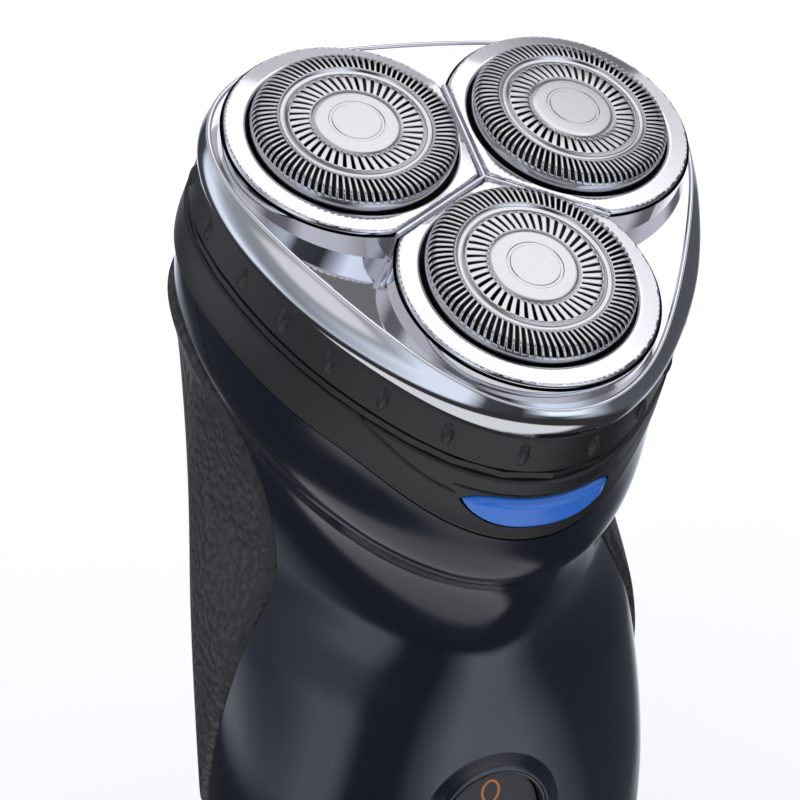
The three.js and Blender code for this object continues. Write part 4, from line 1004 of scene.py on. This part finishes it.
# The room's brightness: a height or a side from -1 to 1, and the level there.
ROOM_ABOVE = (
    (0, 0.1), (0.3, 0.3), (0.42, 0.8), (0.6, 0.85),
    (0.69, 0.22), (0.8, 0.18), (0.87, 0.7), (1, 0.65),
)
ROOM_BELOW = (
    (-1, 0.3), (-0.85, 1.0), (-0.7, 1.0), (-0.58, 0.07), (-0.25, 0.05),
    (-0.08, 0.6), (0.1, 1.3), (0.5, 1.1), (0.8, 0.12), (1, 0.1),
)


class SHAVER_OT_stage(bpy.types.Operator):
    """Pale floor, soft lights and the camera"""

    bl_idname = "shaver.stage"
    bl_label = "Stage"

    def execute(self, context):
        scene = context.scene
        scene.view_settings.view_transform = "Standard"
        floor_mesh = bpy.data.meshes.new("floor")
        sheet = [
            (x * FLOOR_HALF, y * FLOOR_HALF, 0) for x, y in ((-1, -1), (1, -1), (1, 1), (-1, 1))
        ]
        floor_mesh.from_pydata(sheet, [], [(0, 1, 2, 3)])
        floor = bpy.data.objects.new("floor", floor_mesh)
        context.collection.objects.link(floor)
        paint = bpy.data.materials.new("Pale studio paper")
        paint.use_nodes = True
        tree = paint.node_tree
        tree.nodes.clear()
        matt = node(tree, "ShaderNodeBsdfDiffuse", {"Color": linear(scene.shaver_colours.floor)})
        node(tree, "ShaderNodeOutputMaterial", None, {"Surface": matt.outputs["BSDF"]})
        floor_mesh.materials.append(paint)
        # The gloss mirrors the lamps and the room, but not the floor: the handle keeps its depth.
        floor.visible_glossy = False

        world = bpy.data.worlds.new("Studio")
        world.use_nodes = True
        scene.world = world
        tree = world.node_tree
        tree.nodes.clear()
        way = node(tree, "ShaderNodeTexCoord").outputs["Generated"]
        parts = node(tree, "ShaderNodeSeparateXYZ", None, {"Vector": way}).outputs
        sideways, ahead, upward = parts["X"], parts["Y"], parts["Z"]
        # The room's light by height, and low down by side: two soft boxes with dark between them.
        graded = []
        gradings = ((upward, 0, ROOM_ABOVE, 0.0), (sideways, -1, ROOM_BELOW, 0.08))
        for source, low, stops, cool in gradings:
            share = node(tree, "ShaderNodeMapRange", {"From Min": low}, {"Value": source})
            ramp = node(tree, "ShaderNodeValToRGB", None, {"Fac": share.outputs["Result"]})
            marks = ramp.color_ramp.elements
            for at, _ in stops[1:-1]:
                marks.new((at - low) / (1 - low))
            for mark, (_, level) in zip(marks, stops):
                mark.color = (level * (1 - cool), level, level * (1.04 + cool), 1)
            graded.append(ramp.outputs["Color"])
        above, below = graded
        # Steeply down, it's bright in front and on the left, as a lit table is, and dark elsewhere.
        lean = node(
            tree, "ShaderNodeMath", {"operation": "ADD"}, {0: sideways, 1: ahead}
        ).outputs[0]
        fall = node(
            tree, "ShaderNodeMath", {"operation": "MULTIPLY_ADD", 1: 0.1}, {0: sideways, 2: upward}
        ).outputs[0]
        front, dim, steep, up = (
            node(tree, "ShaderNodeMapRange", {"From Min": first, "From Max": last}, {"Value": source})
            for source, first, last in (
                (lean, 0.3, 0.0),
                (fall, -0.46, -0.56),
                (fall, -0.73, -0.77),
                (upward, 0.1, 0.35),
            )
        )
        dark, lit = (0.04, 0.04, 0.042, 1), (0.85, 0.86, 0.88, 1)
        table = node(tree, "ShaderNodeMix", MIX_COLOURS | {6: dark, 7: lit}, {0: front.outputs[0]})
        edge = node(tree, "ShaderNodeMix", MIX_COLOURS | {7: dark}, {0: dim.outputs[0], 6: below})
        low = node(
            tree,
            "ShaderNodeMix",
            MIX_COLOURS,
            {0: steep.outputs[0], 6: edge.outputs[2], 7: table.outputs[2]},
        )
        all_round = node(
            tree, "ShaderNodeMix", MIX_COLOURS, {0: up.outputs[0], 6: low.outputs[2], 7: above}
        )
        room = node(tree, "ShaderNodeBackground", None, {"Color": all_round.outputs[2]})
        white = node(tree, "ShaderNodeBackground", {"Color": (1, 1, 1, 1)})
        seen = node(tree, "ShaderNodeLightPath").outputs["Is Camera Ray"]
        both = node(
            tree, "ShaderNodeMixShader", None, {0: seen, 1: room.outputs[0], 2: white.outputs[0]}
        )
        node(tree, "ShaderNodeOutputWorld", None, {"Surface": both.outputs[0]})

        target = Vector((0, -0.005, 0.13))
        # Name, place and size in metres, and power in watts. Only the first shows in the gloss.
        lamps = (
            ("overhead", (0.26, -0.02, 1.0), 0.66, 0.66, 0.95),
            ("left_box", (-0.8, -0.1, 0.4), 0.3, 0.9, 0.7),
            ("right_box", (0.8, -0.3, 0.4), 0.3, 0.9, 0.7),
            ("front_box", (-0.5, -0.6, 0.75), 0.6, 0.4, 0.8),
            ("back_wash", (0.2, 1.0, 1.0), 1.6, 1.2, 13.0),
        )
        for name, place, width, height, power in lamps:
            data = bpy.data.lights.new(name, "AREA")
            data.shape, data.size, data.size_y, data.energy = "RECTANGLE", width, height, power
            lamp = bpy.data.objects.new(name, data)
            lamp.location = place
            lamp.rotation_euler = (target - Vector(place)).to_track_quat("-Z", "Y").to_euler()
            context.collection.objects.link(lamp)
            lamp.visible_glossy = name == "overhead"
            lamp.visible_camera = False

        data = bpy.data.cameras.new("camera")
        data.lens, data.sensor_width = 81, 36
        data.clip_start, data.clip_end = 0.01, 50
        camera = bpy.data.objects.new("camera", data)
        camera.matrix_world = Matrix(CAMERA_AXES).to_4x4()
        camera.location = Vector(CAMERA_PLACE) * MM
        context.collection.objects.link(camera)
        scene.camera = camera
        return {"FINISHED"}


# The camera's right, up and back directions as columns, and its place in mm.
CAMERA_AXES = (
    (0.9341, 0.1155, -0.3377),
    (-0.3558, 0.3765, -0.8553),
    (0.0283, 0.9192, 0.3929),
)
CAMERA_PLACE = (-84.4, -198.6, 209.0)

OPERATORS = (
    SHAVER_OT_inner,
    SHAVER_OT_shells,
    SHAVER_OT_recesses,
    SHAVER_OT_neck,
    SHAVER_OT_button,
    SHAVER_OT_grips,
    SHAVER_OT_switch,
    SHAVER_OT_head,
    SHAVER_OT_lobes,
    SHAVER_OT_guards,
    SHAVER_OT_collar,
    SHAVER_OT_stage,
)


class SHAVER_PT_panel(bpy.types.Panel):
    """The shaver's sizes, colours and steps"""

    bl_idname = "SHAVER_PT_panel"
    bl_label = "Shaver"
    bl_space_type = "VIEW_3D"
    bl_region_type = "UI"
    bl_category = "Shaver"

    def draw(self, context):
        for group in (context.scene.shaver_sizes, context.scene.shaver_colours):
            box = self.layout.box()
            for name in group.__annotations__:
                box.prop(group, name)
        for operator in OPERATORS:
            self.layout.operator(operator.bl_idname)


CLASSES = (ShaverSizes, ShaverColours, *OPERATORS, SHAVER_PT_panel)


def register():
    for item in CLASSES:
        bpy.utils.register_class(item)
    bpy.types.Scene.shaver_sizes = PointerProperty(type=ShaverSizes)
    bpy.types.Scene.shaver_colours = PointerProperty(type=ShaverColours)


def unregister():
    del bpy.types.Scene.shaver_colours
    del bpy.types.Scene.shaver_sizes
    for item in reversed(CLASSES):
        bpy.utils.unregister_class(item)


def main():
    register()
    for operator in OPERATORS:
        group, name = operator.bl_idname.split(".")
        getattr(getattr(bpy.ops, group), name)()


if __name__ == "__main__":
    main()
